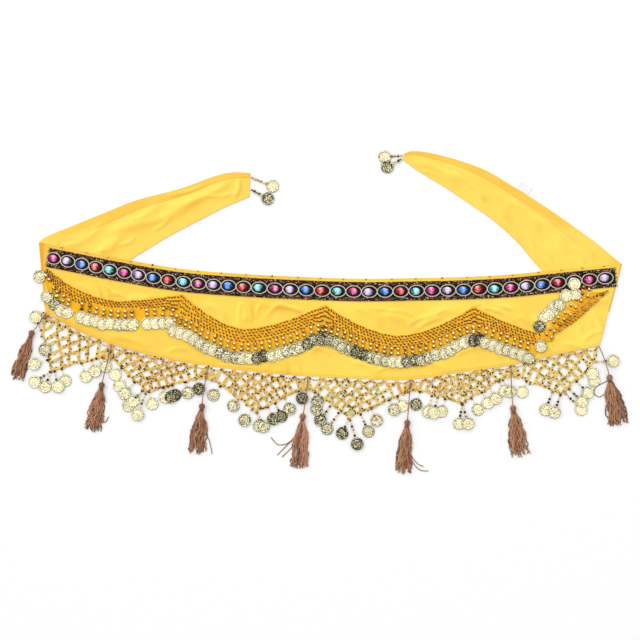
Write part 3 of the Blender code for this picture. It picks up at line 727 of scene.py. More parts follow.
def tube(points, radius, sides):
    """A round thread along a row of points; radius is a number or one for each point."""
    places = []
    uvs = []
    run_length = 0.0
    for i, point in enumerate(points):
        before = points[max(i - 1, 0)]
        after = points[min(i + 1, len(points) - 1)]
        run = (after - before).normalized()
        aside = run.cross(up(1))
        if aside.length < 0.1:
            aside = Vector((1, 0, 0))
        aside.normalize()
        over = aside.cross(run)
        size = radius[i] if isinstance(radius, list) else radius
        run_length += (point - before).length
        for c in range(sides):
            turn = math.tau * c / sides
            places.append(point + aside * (size * math.cos(turn))
                          + over * (size * math.sin(turn)))
            uvs.append((run_length, c / sides))
    return places, capped(len(points), sides), uvs


def loop_tube(points, radius, sides):
    """A closed round thread along a ring of points in plan."""
    places = []
    uvs = []
    count = len(points)
    for i, point in enumerate(points):
        run = (points[(i + 1) % count] - points[i - 1]).normalized()
        aside = run.cross(up(1)).normalized()
        for c in range(sides):
            turn = math.tau * c / sides
            places.append(point + aside * (radius * math.cos(turn))
                          + up(radius * math.sin(turn)))
            uvs.append((i / count, c / sides))
    faces = []
    for i in range(count):
        faces += wall(i * sides, (i + 1) % count * sides, sides)
    return places, faces, uvs


def at_place(point, turn, size, tilt=None):
    """A matrix that puts a shape of size 1 at a place; size is one number or three."""
    matrix = Matrix.Translation(point)
    if tilt:
        matrix = matrix @ tilt
    sizes = size if isinstance(size, tuple) else (size,) * 3
    return matrix @ Matrix.Rotation(turn, 4, "Z") @ Matrix.Diagonal((*sizes, 1))


def panel_plan(u, v):
    """The panel in plan: u along it, v from its top edge to its lower one."""
    top_x, top_y_mm, low_x, low_y = smooth_row(PANEL, u)
    return place(top_x, top_y_mm).lerp(place(low_x, low_y), v)


def band_height(x):
    """The sewn edge of the crochet band at x, in the tables' millimetres."""
    for (left, right), low in zip(zip(PEAKS, PEAKS[1:]), LOWS):
        low_x, low_y, before, after = low
        if x <= low_x:
            return low_y + (left[1] - low_y) * max((low_x - x) / (low_x - left[0]), 0) ** before
        if x <= right[0]:
            return low_y + (right[1] - low_y) * ((x - low_x) / (right[0] - low_x)) ** after
    return PEAKS[-1][1]


def band_path(start_x, end_x):
    """The sewn edge of the crochet band between two places."""
    return [place(x, band_height(x)) for x in shares(300, start_x, end_x)]


def ribbon_path():
    """The middle of the gem ribbon along the panel's top edge."""
    line = []
    for share in shares(120):
        distance = RIBBON_START + (TOP_EDGE.length - RIBBON_START - RIBBON_END) * share
        inwards = TOP_EDGE.side(distance, COIN_RADIUS)
        line.append(TOP_EDGE.at(distance) + inwards * (RIBBON_INSET + RIBBON_WIDTH / 2))
    return line


def set_stops(ramp, stops):
    """Give a colour ramp its stops, as (place, colour)."""
    points = ramp.elements
    while len(points) < len(stops):
        points.new(0.5)
    for point, (where, colour) in zip(points, stops):
        point.position = where
        point.color = (*colour, 1.0)


class Look:
    """A node material, built step by step."""

    def __init__(self, name, roughness, metallic=0.0, sheen=0.0, coat=0.0):
        self.made = bpy.data.materials.new(name)
        self.made.use_nodes = True
        self.tree = self.made.node_tree
        self.shader = self.tree.nodes["Principled BSDF"]
        self.shader.inputs["Roughness"].default_value = roughness
        self.shader.inputs["Metallic"].default_value = metallic
        self.shader.inputs["Sheen Weight"].default_value = sheen
        self.shader.inputs["Sheen Roughness"].default_value = 0.5
        self.shader.inputs["Coat Weight"].default_value = coat
        self.shader.inputs["Coat Roughness"].default_value = 0.05

    def node(self, kind, **values):
        """A node with its plain settings and its sockets' values."""
        made = self.tree.nodes.new(kind)
        for name, value in values.items():
            if hasattr(made, name):
                setattr(made, name, value)
            else:
                made.inputs[name.replace("_", " ").title()].default_value = value
        return made

    def link(self, source, target):
        """Join an output to an input."""
        self.tree.links.new(source, target)

    def spot(self, scale=(1, 1, 1), uv=True, turn=0.0):
        """Coordinates over the cut, or in the part's own space, stretched."""
        where = self.node("ShaderNodeTexCoord")
        stretch = self.node("ShaderNodeMapping")
        stretch.inputs["Scale"].default_value = scale
        stretch.inputs["Rotation"].default_value = (0, 0, turn)
        self.link(where.outputs["UV" if uv else "Object"], stretch.inputs["Vector"])
        return stretch.outputs["Vector"]

    def tone(self):
        """The tone that the mesh gives each place."""
        return self.node("ShaderNodeAttribute", attribute_name="tone").outputs["Fac"]

    def texture(self, kind, vector, output="Fac", **values):
        """The output of a texture over some coordinates."""
        made = self.node(kind, **values)
        self.link(vector, made.inputs["Vector"])
        return made.outputs[output]

    def noise(self, vector, scale, detail=2.0, roughness=0.5):
        """Soft clouds."""
        return self.texture("ShaderNodeTexNoise", vector, scale=scale, detail=detail,
                            roughness=roughness)

    def cells(self, vector, scale, output="Color"):
        """Small cells, each with a colour of its own."""
        return self.texture("ShaderNodeTexVoronoi", vector, output, scale=scale)

    def wave(self, vector, scale, direction="X", distortion=0.0):
        """Even bands."""
        return self.texture("ShaderNodeTexWave", vector, scale=scale,
                            bands_direction=direction, distortion=distortion)

    def sum(self, a, b, operation="ADD"):
        """Two values joined; b may be a plain number."""
        made = self.node("ShaderNodeMath", operation=operation)
        self.link(a, made.inputs[0])
        if isinstance(b, float):
            made.inputs[1].default_value = b
        else:
            self.link(b, made.inputs[1])
        return made.outputs[0]

    def times(self, value, share):
        """A value scaled."""
        return self.sum(value, share, "MULTIPLY")

    def swing(self, value, share):
        """A value from 0 to 1, moved around zero and scaled."""
        return self.times(self.sum(value, -0.5), share)

    def ramp(self, value, stops, constant=False):
        """Colours over a value, as (place, colour) stops."""
        made = self.node("ShaderNodeValToRGB")
        made.color_ramp.interpolation = "CONSTANT" if constant else "LINEAR"
        set_stops(made.color_ramp, stops)
        self.link(value, made.inputs["Fac"])
        return made.outputs["Color"]

    def mix(self, amount, a, b):
        """Colour a towards colour b."""
        made = self.node("ShaderNodeMix", data_type="RGBA")
        for source, number in ((amount, 0), (a, 6), (b, 7)):
            self.link(source, made.inputs[number])
        return made.outputs[2]

    def finish(self, colour, bump=None, depth=0.0002, strength=0.6, roughness=None):
        """Join colour, relief and roughness to the shader."""
        self.link(colour, self.shader.inputs["Base Color"])
        if roughness is not None:
            self.link(roughness, self.shader.inputs["Roughness"])
        if bump is not None:
            relief = self.node("ShaderNodeBump")
            relief.inputs["Strength"].default_value = strength
            relief.inputs["Distance"].default_value = depth
            self.link(bump, relief.inputs["Height"])
            self.link(relief.outputs["Normal"], self.shader.inputs["Normal"])
        return self.made


def cloth_look(name, pale, deep):
    """Thin plain weave, a little uneven in colour, with soft wrinkles."""
    look = Look(name, 0.8, sheen=0.25)
    cut = look.spot()
    threads = look.sum(look.wave(cut, 420.0, "X"), look.wave(cut, 420.0, "Y"))
    clouds = look.noise(look.spot(uv=False), 11.0, 3.0)
    fine = look.noise(cut, 160.0, 3.0)
    wrinkle = look.noise(look.spot((14, 40, 14), uv=False, turn=0.5), 1.0, 4.0, 0.6)
    amount = look.sum(look.tone(), look.swing(clouds, 0.55))
    amount = look.sum(amount, look.swing(fine, 0.10))
    colour = look.ramp(amount, ((0.0, pale), (1.0, deep)))
    relief = look.sum(look.times(threads, 0.12), wrinkle)
    return look.finish(colour, relief, 0.0012, 0.5)


def crochet_look():
    """Orange yarn in short loops, with painted shade at the edges of each loop."""
    look = Look("crochet_yarn", 0.85, sheen=0.08)
    look.shader.inputs["Specular IOR Level"].default_value = 0.2
    cut = look.spot()
    loops = look.cells(look.spot((520, 330, 1)), 1.0, "Distance")
    plies = look.wave(look.spot((1, 1, 1), turn=0.8), 260.0, "X", 1.0)
    patches = look.noise(cut, 70.0, 2.0)
    amount = look.sum(look.tone(), look.swing(patches, 0.7))
    # Painted shade towards the edges of each loop
    amount = look.sum(amount, look.times(loops, 0.25))
    colour = look.ramp(amount, ((0.0, (1.0, 0.62, 0.035)), (0.5, (0.95, 0.47, 0.010)),
                                (1.0, (0.72, 0.24, 0.006))))
    return look.finish(colour, look.sum(loops, look.times(plies, 0.4)), 0.0005, 0.8)


def yarn_look(name, pale, deep, dark):
    """Twisted yarn; the tone of each thread takes it from pale to dark."""
    look = Look(name, 0.8, sheen=0.3)
    twist = look.wave(look.spot((1, 0.0025, 1), turn=0.6), 330.0, "X", 0.6)
    patches = look.noise(look.spot(uv=False), 150.0, 2.0)
    amount = look.sum(look.tone(), look.swing(patches, 0.5))
    amount = look.sum(amount, look.swing(twist, 0.25))
    colour = look.ramp(amount, ((0.0, pale), (0.5, deep), (1.0, dark)))
    return look.finish(colour, twist, 0.0004, 0.8)


def metal_look(name, pale, dark, roughness, speck, tone_share):
    """Plated metal, dark in fine specks and more so where the mesh's tone is high; on the coins
    and round beads that tone is painted dark reflection and painted shade.
    """
    look = Look(name, roughness, metallic=0.82)
    here = look.spot(uv=False)
    specks = look.noise(here, speck, 2.0, 0.6)
    fine = look.noise(here, speck * 2.6, 2.0)
    amount = look.sum(specks, look.times(look.tone(), tone_share))
    between = tuple(0.45 * a + 0.4 * b for a, b in zip(pale, dark))
    colour = look.ramp(amount, ((0.0, pale), (0.55, pale), (0.62, between), (0.73, dark)))
    rough = look.sum(look.times(fine, 0.35), roughness)
    return look.finish(colour, look.sum(specks, fine), 0.0003, 0.5, rough)


def ribbon_look():
    """Woven ribbon: patterned borders with gold and plum threads, and a black middle."""
    look = Look("ribbon_weave", 0.75)
    look.shader.inputs["Specular IOR Level"].default_value = 0.12
    cut = look.spot()
    across = look.node("ShaderNodeSeparateXYZ")
    look.link(cut, across.inputs[0])
    flecks = look.node("ShaderNodeSeparateColor")
    look.link(look.cells(look.spot((620, 900, 1), turn=0.35), 1.0), flecks.inputs[0])
    threads = look.ramp(flecks.outputs[0], (
        (0.0, (0.006, 0.004, 0.004)), (0.36, (0.06, 0.012, 0.014)), (0.50, (0.13, 0.05, 0.04)),
        (0.62, (0.012, 0.008, 0.007)), (0.80, (0.30, 0.15, 0.07)), (0.92, (0.66, 0.48, 0.30))),
        constant=True)
    plain = look.ramp(flecks.outputs[1], ((0.0, (0.006, 0.005, 0.005)),
                                          (1.0, (0.022, 0.016, 0.016))))
    from_middle = look.node("ShaderNodeMath", operation="ABSOLUTE")
    look.link(across.outputs[1], from_middle.inputs[0])
    scaled = look.times(from_middle.outputs[0], 50.0)
    border = look.ramp(scaled, ((0.0, (0, 0, 0)), (BORDER_FROM * 50.0, (1, 1, 1))),
                       constant=True)
    colour = look.mix(border, plain, threads)
    picks = look.sum(look.wave(cut, 300.0, "X"), flecks.outputs[0])
    return look.finish(colour, picks, 0.0004, 0.6)


def gem_look(name, pale, deep):
    """Cut glass: each facet's tone paints its light, from deep painted shade to a pale painted
    highlight.
    """
    look = Look(name, 0.12, coat=0.15)
    look.shader.inputs["Specular IOR Level"].default_value = 0.22
    swirl = look.noise(look.spot(uv=False), 420.0, 1.0)
    amount = look.sum(look.tone(), look.swing(swirl, 0.35))
    light = tuple(0.5 * c + 0.5 for c in pale)
    colour = look.ramp(amount, ((0.0, deep), (0.22, deep), (0.6, pale), (1.0, light)))
    return look.finish(colour)


def label_look():
    """Blank satin tape."""
    look = Look("label_tape", 0.6, sheen=0.2)
    cut = look.spot(uv=False)
    threads = look.wave(cut, 500.0, "X", 0.3)
    colour = look.ramp(threads, ((0.0, (0.86, 0.85, 0.82)), (1.0, (0.95, 0.94, 0.92))))
    return look.finish(colour, threads, 0.0002, 0.4)


def floor_look():
    """A plain pale surface."""
    look = Look("floor_paper", 0.9)
    grain = look.noise(look.spot(uv=False), 60.0, 3.0)
    colour = look.ramp(grain, ((0.0, (0.93, 0.93, 0.93)), (1.0, (0.97, 0.97, 0.97))))
    return look.finish(colour)


def panel_piece(look):
    """The crescent panel: one thin sheet with soft folds, over both ties' ends."""
    along = shares(PANEL_FINE, FOLD_OPENING, 1 - FOLD_OPENING)
    across = shares(PANEL_FINE_ROWS)
    whole = TOP_EDGE.length

    def surface(below):
        def at(u, v):
            point = panel_plan(u, v)
            wide = (panel_plan(u, 0) - panel_plan(u, 1)).length
            point.z = cloth_top(point)
            if below:
                point.z = max(lift(point.x), point.z - below)
            return point, (u * whole, v * wide)
        return at

    def tone(u, v):
        """Deeper towards the left end and at the hems; painted shade at the left fold and on the
        side of each fold away from the light.
        """
        point = panel_plan(u, v)
        x = point.x / MM
        value = 0.27 + 0.11 * unevenness(point.x, point.y, 9, 7.7)
        value += 0.35 * smooth_step((LEFT_DEEP - x) / 26)
        # Painted shade at the left fold
        value += 0.75 * smooth_step((LEFT_FOLD - x) / 12)
        value += 0.06 * smooth_step((-240 - x) / 100)
        value -= 0.10 * smooth_step((x + 100) / 200)
        value += 0.26 * smooth_step((v - 0.965) / 0.02)
        value += 0.18 * smooth_step((0.03 - v) / 0.012)
        below = (top_y(point.x) - point.y) / MM
        shows = smooth_step((below - FLAT_TO) / FOLDS_FADE)
        # Painted shade on the side of each fold away from the light
        value += CREASE_DARK * shows * crease_shade(point.x, point.y, PANEL_CREASES)
        return value

    sheet = grid_shell(surface(0.0), surface(CLOTH), along, across, tone)
    return sheet.build("panel_cloth", [look], ("panel",), "cloth")


def tie_piece(name, rows, creases, look, node):
    """A tie: thin cloth with a doubled hem, folded up and over to meet the panel."""
    fold_start = smooth_row(rows, 1.0)
    upper_end = place(fold_start[0], fold_start[1])
    lower_end = place(fold_start[2], fold_start[3])
    along_fold = (lower_end - upper_end).normalized()
    outwards = Vector((-along_fold.y, along_fold.x, 0))
    if outwards.x * upper_end.x < 0:
        outwards.negate()
    centre_height = CLOTH + SEAM / 2
    middle = Path([place(*smooth_row(rows, u)[:2]) for u in shares(TIE_FINE)])

    def hem(u, v, soft):
        fade = smooth_step((HEM_END + HEM_FADE - u) / HEM_FADE)
        return smooth_step((HEM_SHARE - v) / soft) * fade

    def edges(u):
        row = smooth_row(rows, min(u, 1.0))
        return place(row[0], row[1]), place(row[2], row[3])

    def point(u, v, top):
        """A place on either side; past u = 1 the cloth turns over in its fold."""
        start, end = edges(u)
        flat = start.lerp(end, v)
        angle = max(u - 1.0, 0.0) * math.pi
        radius = SEAM / 2 if top else centre_height
        free = smooth_step((1.0 - u) / 0.12)
        folds = free * crease(flat.x, flat.y, creases)
        folds += free * 0.3 * MM * (1 + unevenness(flat.x, flat.y, 24, 1.7))
        flat += outwards * radius * math.sin(angle)
        flat.z = centre_height - radius * math.cos(angle)
        if top:
            shows = smooth_step((flat.y - top_y(flat.x)) / (8 * MM))
            flat.z += HEM_RAISE * hem(u, v, 0.03) + shows * folds
        return flat, (middle.length * u, (end - start).length * v)

    def tone(u, v):
        """Deeper on the hem, the lower edge and towards the turn; painted shade on the side of
        each fold away from the light.
        """
        start, end = edges(u)
        flat = start.lerp(end, v)
        value = 0.20 + 0.11 * unevenness(flat.x, flat.y, 9, 2.2)
        value += 0.38 * hem(u, v, 0.02)
        value += 0.30 * smooth_step((v - 0.97) / 0.02)
        # Painted shade on the side of each fold away from the light
        value += CREASE_DARK * crease_shade(flat.x, flat.y, creases)
        value += 0.35 * smooth_step((u - 0.93) / 0.07)
        return value

    along = shares(TIE_FINE) + shares(FOLD_FINE, 1.0, 2.0)[1:]
    across = sorted(shares(TIE_FINE_ROWS) + [HEM_SHARE - 0.015, HEM_SHARE, HEM_SHARE + 0.015])
    sheet = grid_shell(lambda u, v: point(u, v, True), lambda u, v: point(u, v, False),
                       along, across, tone)
    return sheet.build(name, [look], (node,), "cloth")


def stitches(name, path, inset, look):
    """A row of short stitches beside an edge of the panel."""
    rows = Joined()
    count = int(path.length / STITCH)
    for i in range(count):
        start = STITCH * (i + 0.2)
        points = []
        for share in shares(3):
            distance = start + share * STITCH * 0.6
            side = path.side(distance, 6 * MM)
            points.append(on_cloth(path.at(distance) + side * inset, 0.15 * MM))
        rows.add(tube(points, 0.25 * MM, 5))
    return rows.build(name, [look], slot="cloth")


def painted_bead_shade(shape):
    """Painted shade and dark reflection on a bead: how dark each place is, darkest on one lower
    side.
    """
    return [smooth_step((-0.05 - 0.45 * p.x - 0.75 * p.y - 0.15 * p.z) / 0.5) for p in shape[0]]


def edge_beads(look):
    """The small gold beads along the panel's top edge."""
    beads = Joined()
    shape = ball(10, 7)
    for x in EDGE_BEADS:
        distance = TOP_EDGE.at_x(from_photo(x, 0).x)
        point = TOP_EDGE.at(distance) + TOP_EDGE.side(distance, 8 * MM) * 0.4 * MM
        where = on_cloth(point, EDGE_BEAD * 0.8)
        size = (EDGE_BEAD * 1.2, EDGE_BEAD, EDGE_BEAD)
        # Each bead takes painted shade and dark reflection on one lower side.
        beads.add(shape, at_place(where, 0.3, size), tone=painted_bead_shade(shape))
    return beads.build("top_edge_beads", [look], slot="coins", sharp=0)


def ribbon_point(distance, aside, height):
    """A place on the gem ribbon: along it, across it from its middle, and above the cloth."""
    side = RIBBON.side(distance, 10 * MM)
    return on_cloth(RIBBON.at(distance) + side * aside, height)


def gem_distances():
    """Where each gem sits along the ribbon."""
    distances = []
    for (first, start_x), (last, end_x) in zip(GEM_PLACES, GEM_PLACES[1:]):
        for x in shares(last - first, start_x, end_x)[:-1]:
            distances.append(RIBBON.at_x(place(x, 0).x))
    distances.append(RIBBON.at_x(place(GEM_PLACES[-1][1], 0).x))
    return distances


def ribbon_pieces(look, looks_of_gems, ring_look):
    """The ribbon, its rings of cord and its cut stones."""
    def surface(high):
        def at(u, v):
            distance = RIBBON.length * u
            aside = (v - 0.5) * RIBBON_WIDTH
            edge = 0.0
            if high:
                edge = 0.5 * MM * smooth_step((abs(aside) - BORDER_FROM) / (1.2 * MM))
            wave = 0.35 * MM * abs(math.sin(distance / (2.1 * MM) * math.pi)) if edge else 0.0
            return ribbon_point(distance, aside, high + edge * 0.6 + wave), (distance, aside)
        return at

    band = grid_shell(surface(RIBBON_TOP), surface(0.0), shares(RIBBON_FINE), shares(14),
                      lambda u, v: 0.5)
    for end, way in ((0.0, -1), (RIBBON.length, 1)):
        for i in range(FRINGE_THREADS):
            aside = (i / (FRINGE_THREADS - 1) - 0.5) * RIBBON_WIDTH
            reach = (1.2 + 2.2 * abs(math.sin(3.7 * i + way))) * MM
            points = [ribbon_point(end - way * 2 * MM, aside, 0.7 * MM)]
            loose = points[0] - ribbon_point(end - way * 5 * MM, aside, 0.7 * MM)
            tip = points[0] + loose.normalized() * (reach + 2 * MM)
            tip += Vector((0, math.sin(5.1 * i) * 0.7 * MM, -0.2 * MM))
            band.add(tube([points[0], points[0].lerp(tip, 0.6), tip], 0.22 * MM, 4), tone=0.5)
    ribbon = band.build("ribbon_band", [look], ("gem_ribbon",), "gem_ribbon")

    rings = Joined()
    stones = Joined()
    distances = gem_distances()
    for i, distance in enumerate(distances):
        before = distances[i - 1] if i else 2 * distance - distances[1]
        ring_length = (distance - before) * RING_SHARE
        middle = RIBBON.at(distance)
        side = RIBBON.side(distance, 10 * MM)
        turn = math.atan2(side.x, -side.y)
        ring = []
        for k in range(RING_CELLS):
            angle = math.tau * k / RING_CELLS
            plan = Vector((math.cos(angle) * ring_length / 2,
                           math.sin(angle) * RING_WIDTH / 2, 0))
            plan.rotate(Matrix.Rotation(turn, 3, "Z"))
            ring.append(on_cloth(middle + plan, RING_HEIGHT))
        rings.add(loop_tube(ring, RING_CORD, 6), tone=0.0)
        lean = Vector((-GEM_SHIFT, 0.4 * MM * math.sin(2.3 * i), 0))
        lean.rotate(Matrix.Rotation(turn, 3, "Z"))
        seat = on_cloth(middle + lean, RIBBON_TOP)
        add_stone(stones, seat, turn + 0.08 * math.sin(4.1 * i), i % len(looks_of_gems), i)
    made = [ribbon, rings.build("ribbon_rings", [ring_look], slot="gem_ribbon")]
    made.append(stones.build("ribbon_gems", looks_of_gems, slot="gems", sharp=0))
    return made


def add_stone(stones, seat, turn, colour, number):
    """An oval stone with a table and two rows of facets."""
    pick = random.Random(number)
    # Where across the stone the painted highlight falls
    glint = pick.uniform(-0.12, 0.2)
    rows = ((1.0, 0.0, 0.0), (0.98, 0.9, 0.0), (0.74, 2.0, 0.5), (0.44, 2.6, 0.0))
    rings = []
    for share, height, shift in rows:
        ring = []
        for k in range(STONE_SIDES):
            angle = math.tau * (k + shift) / STONE_SIDES
            ring.append(Vector((share * STONE_LENGTH / 2 * math.cos(angle),
                                share * STONE_WIDTH / 2 * math.sin(angle), height * MM)))
        rings.append(ring)
    matrix = Matrix.Translation(seat) @ Matrix.Rotation(turn, 4, "Z")

    def facet(places):
        """One facet with painted light: brightest in a painted highlight across the stone,
        lighter towards one side, with a painted reflection of its own at random.
        """
        centre = sum(places, Vector()) / len(places)
        off = (centre.x / STONE_LENGTH - glint) / 0.30
        # Painted highlight across the stone and painted light towards one side
        bright = 0.12 + 0.72 * math.exp(-off * off) + 0.25 * centre.y / STONE_WIDTH
        value = bright + pick.uniform(-0.22, 0.25)
        stones.add((places, [list(range(len(places)))], None), matrix, colour,
                   min(max(value, 0.0), 1.0), flat=True)

    for k in range(STONE_SIDES):
        n = (k + 1) % STONE_SIDES
        facet([rings[0][k], rings[0][n], rings[1][n], rings[1][k]])
        facet([rings[1][k], rings[1][n], rings[2][k]])
        facet([rings[2][k], rings[1][n], rings[2][n]])
        facet([rings[2][k], rings[2][n], rings[3][n]])
        facet([rings[2][k], rings[3][n], rings[3][k]])
        facet([rings[3][k], rings[3][n], up(2.7 * MM)])


def band_surface(path, taper):
    """A function for places on the crochet: distance along it, reach from its sewn edge."""
    def at(distance, reach, height):
        if taper:
            reach *= min(max(TURNED_TIP, distance * TURNED_TAPER) / TURNED_REACH, 1.0)
        return on_cloth(beside(path, distance, reach), height)
    return at


def reach_share(x):
    """How far the band reaches at x metres, as a share of its widths."""
    share = REACH_SHARES[0][1]
    for (start, before), (end, after) in zip(REACH_SHARES, REACH_SHARES[1:]):
        if x > place(start, 0).x:
            along = (x - place(start, 0).x) / ((end - start) * MM)
            share = before + (after - before) * smooth_step(along)
    return share


def beside(path, distance, reach):
    """A place at a reach from the sewn edge, further out below the inner peaks."""
    point = path.at(distance)
    from_start = (point.x - place(START_X[0], 0).x) / ((START_X[1] - START_X[0]) * MM)
    reach *= START_SHARE + (1 - START_SHARE) * smooth_step(from_start)
    reach *= reach_share(point.x)
    fill = PEAK_FILL * min(reach / BAND_WIDTH, 1.0)
    for x, y in PEAKS[1:-1]:
        near = max(1 - abs(point.x - place(x, y).x) / PEAK_SPAN, 0)
        reach += fill * smooth_step(near)
    return point + path.side(distance, NORMAL_SPAN) * reach


def crochet_piece(name, path, look, node, stops, taper=False):
    """The crochet: a looped band whose outer edge runs out in a tongue between the drops."""
    at = band_surface(path, taper)
    widest = TURNED_REACH if taper else TONGUE_REACH
    cells = int(path.length / CROCHET_STEP)

    def tongue(distance):
        """The band's reach: least beside a drop and most between two of them."""
        if taper:
            return widest
        nearest = min(abs(distance - stop) for stop in stops)
        share = min(nearest / (COIN_PITCH / 2), 1.0)
        return TONGUE_ROOT + (widest - TONGUE_ROOT) * share ** 0.5

    def loop(distance, reach):
        """The yarn's slanting loops, from 0 between two to 1 on top of one."""
        return abs(math.sin(math.pi * ((distance + reach * 0.9) / LOOP_PITCH)))

    def surface(high):
        def where(u, v):
            distance = path.length * u
            reach = tongue(distance) * v
            loops = 0.0
            if high:
                loops = 0.45 * MM * loop(distance, reach)
                loops *= 0.4 + 0.6 * abs(math.sin(math.pi * reach / LOOP_ROW))
                loops *= smooth_step((1 - v) / 0.08)
            return at(distance, reach, high + loops), (distance, reach)
        return where

    def tone(u, v):
        distance = path.length * u
        reach = tongue(distance) * v
        # Painted shade between the loops; darker also at both edges of the band and on the turned
        # end
        value = 0.16 + 0.25 * (1 - loop(distance, reach))
        value += 0.25 * smooth_step((v - 0.93) / 0.05) + (0.2 if taper else 0.0)
        value += 0.15 * smooth_step((0.04 - v) / 0.03)
        return value + 0.12 * unevenness(distance, reach, 60, 5.5)

    band = grid_shell(surface(CROCHET_TOP), surface(CROCHET_UNDER), shares(cells),
                      shares(CROCHET_ROWS), tone)
    if taper:
        leaf = ball(12, 8)
        for root_x, root_y, tip_x, tip_y in TURNED_TONGUES:
            root = from_photo(root_x, root_y)
            tip = from_photo(tip_x, tip_y)
            run = tip - root
            where = on_cloth(root.lerp(tip, 0.5), 1.1 * MM)
            band.add(leaf, at_place(where, math.atan2(run.y, run.x),
                                    (run.length * 0.56, 3.1 * MM, 1.5 * MM)), tone=0.42)
    return band.build(name, [look], (node,), "crochet")


def fold_over(look, seed_look):
    """Where the crochet bends over on itself before its turned end."""
    bend = Joined()
    seeds = Joined()
    pick = random.Random(23)
    patch = ball(20, 12)
    for x, y, long, wide, turn in FOLD_PATCHES:
        where = on_cloth(from_photo(x, y), 1.0 * MM)
        bend.add(patch, at_place(where, turn, (long * MM, wide * MM, 1.7 * MM)), tone=0.4)
        for i in range(int(long * wide / 9)):
            angle = pick.uniform(0, 6.28)
            far = pick.uniform(0.1, 0.85)
            plan = Vector((math.cos(angle) * long * far, math.sin(angle) * wide * far, 0)) * MM
            plan.rotate(Matrix.Rotation(turn, 3, "Z"))
            top = 1.7 * MM * math.sqrt(1 - far * far)
            seeds.add(ball(6, 4), at_place(where + plan + up(top), angle,
                                           (1.8 * MM, 1.0 * MM, 0.9 * MM)),
                      tone=pick.uniform(0.0, 1.0))
    return [bend.build("crochet_fold", [look], slot="crochet", sharp=0),
            seeds.build("fold_seed_beads", [seed_look], slot="coins", sharp=0)]


def corner_knot(look, bead_look):
    """The yarn that gathers at the panel's lower left corner, where the net begins."""
    yarn = Joined()
    beads = Joined()
    seed = ball(8, 6)
    pick = random.Random(21)
    for x, y in CORNER_LOOPS:
        centre = from_photo(x, y)
        wide = pick.uniform(1.8, 2.7)
        turn = pick.uniform(0, math.pi)
        high = pick.uniform(0.9, 2.2) * MM
        points = []
        for k in range(13):
            angle = math.tau * k / 12
            points.append(centre + Vector((math.cos(angle + turn) * wide * MM,
                                           math.sin(angle) * wide * MM, high)))
        yarn.add(tube(points, KNOT_YARN, 5), tone=pick.uniform(0.1, 0.9))
        for angle in (turn, turn + 2.2, turn + 4.1):
            spot = centre + Vector((math.cos(angle), math.sin(angle), 0)) * wide * MM
            spot.z = high + 0.7 * MM
            beads.add(seed, at_place(spot, angle, NET_BEAD), tone=pick.uniform(0.0, 1.2))
    yarn.build("corner_knot_yarn", [look], slot="net_yarn", sharp=0)
    beads.build("corner_knot_beads", [bead_look], slot="coins", sharp=0)


def seed_rows(name, path, look, taper=False):
    """The rows of small beads on the crochet, more of them at the peaks."""
    at = band_surface(path, taper)
    seeds = Joined()
    shape = ball(6, 4)
    pick = random.Random(11)
    peaks = [0.0] if taper else [path.at_x(place(x, y).x) for x, y in PEAKS]
    for row in range(9):
        reach = FIRST_SEEDS + SEED_ROW * row
        for i in range(int(path.length / SEED_PITCH)):
            distance = SEED_PITCH * (i + 0.5 * (row % 2)) + pick.uniform(-0.4, 0.4) * MM
            to_peak = min(abs(distance - peak) for peak in peaks)
            wider = (reach_share(path.at(distance).x) - 0.9) / 0.1
            rows_here = 3 + 1.4 * smooth_step(wider)
            rows_here += 0.5 * smooth_step(1 - to_peak / (34 * MM))
            if row >= (3 if taper else rows_here):
                continue
            point = at(distance, reach + pick.uniform(-0.7, 0.7) * MM, 1.6 * MM)
            if (point - path.at(distance)).to_2d().length > SEEDS_REACH:
                continue
            side = path.side(distance, 14 * MM)
            turn = math.atan2(side.y, side.x) + 0.95 + pick.uniform(-0.4, 0.4)
            size = (2.3 * MM, 1.05 * MM, 1.1 * MM)
            # Each seed is a dark copy for its painted shaded side and a pale copy beside it for
            # its painted highlight
            dark = pick.uniform(1.2, 2.2) - (0.7 if taper else 0.0)
            seeds.add(shape, at_place(point, turn, size), tone=dark)
            aside = Vector((math.sin(turn), -math.cos(turn), 0)) * 1.7 * MM
            gold = at_place(point - aside, turn, (1.9 * MM, 0.85 * MM, 1.0 * MM))
            seeds.add(shape, gold, tone=pick.uniform(-0.6, 0.2))
    return seeds.build(name, [look], slot="coins", sharp=0)


def coin_shape():
    """A coin of radius 1 with a raised rim and a plain rippled field, before its thickness."""
    def ripple(radius, turn):
        if 0.1 < radius < 0.78:
            return 0.022 * math.sin(7 * turn + 9 * radius) * math.sin(math.pi * radius / 0.8)
        return 0.0
    profile = ((0.10, 0.075), (0.30, 0.04), (0.48, 0.055), (0.64, 0.035), (0.78, 0.03),
               (0.84, 0.075), (0.95, 0.08), (1.0, 0.04), (1.0, -0.04), (0.94, -0.07))
    return turned(profile, 28, ripple)


def add_coin(coins, shape, centre, tilt, turn, tone):
    """One coin; tilt is a matrix that leans it."""
    tones = []
    # The coin's tone is its painted dark reflection; it is darker still at its outer edge and in
    # the groove inside the rim.
    for p in shape[0]:
        out = math.hypot(p.x, p.y)
        tones.append(tone + (1.3 if out > 0.985 else 0.5 if 0.72 < out < 0.8 else 0.0))
    coins.add(shape, at_place(centre, turn, COIN_RADIUS, tilt), tone=tones)


def drop_thread(drops, start, end, rise=0.0):
    """The thread that a coin hangs on."""
    drops.add(tube([start, start.lerp(end, 0.5) + up(rise), end], DROP_THREAD, 5), slot=2)


def leaning(direction, angle):
    """A turn that raises a coin on the side of a plan direction."""
    return Matrix.Rotation(-angle, 4, up(1).cross(direction))


def painted_row_reflection(pixel):
    """How dark the painted reflection on the coins is at a photo x on the band."""
    for start, end, tone in PAINTED_REFLECTION_RUNS:
        if start <= pixel < end:
            return tone
    return 0.1


def is_bare(point):
    """Whether a place on the band is one of those without a drop."""
    return any(abs(point.x - place(x, 0).x) <= BARE_HALF * MM for x in BARE_X)


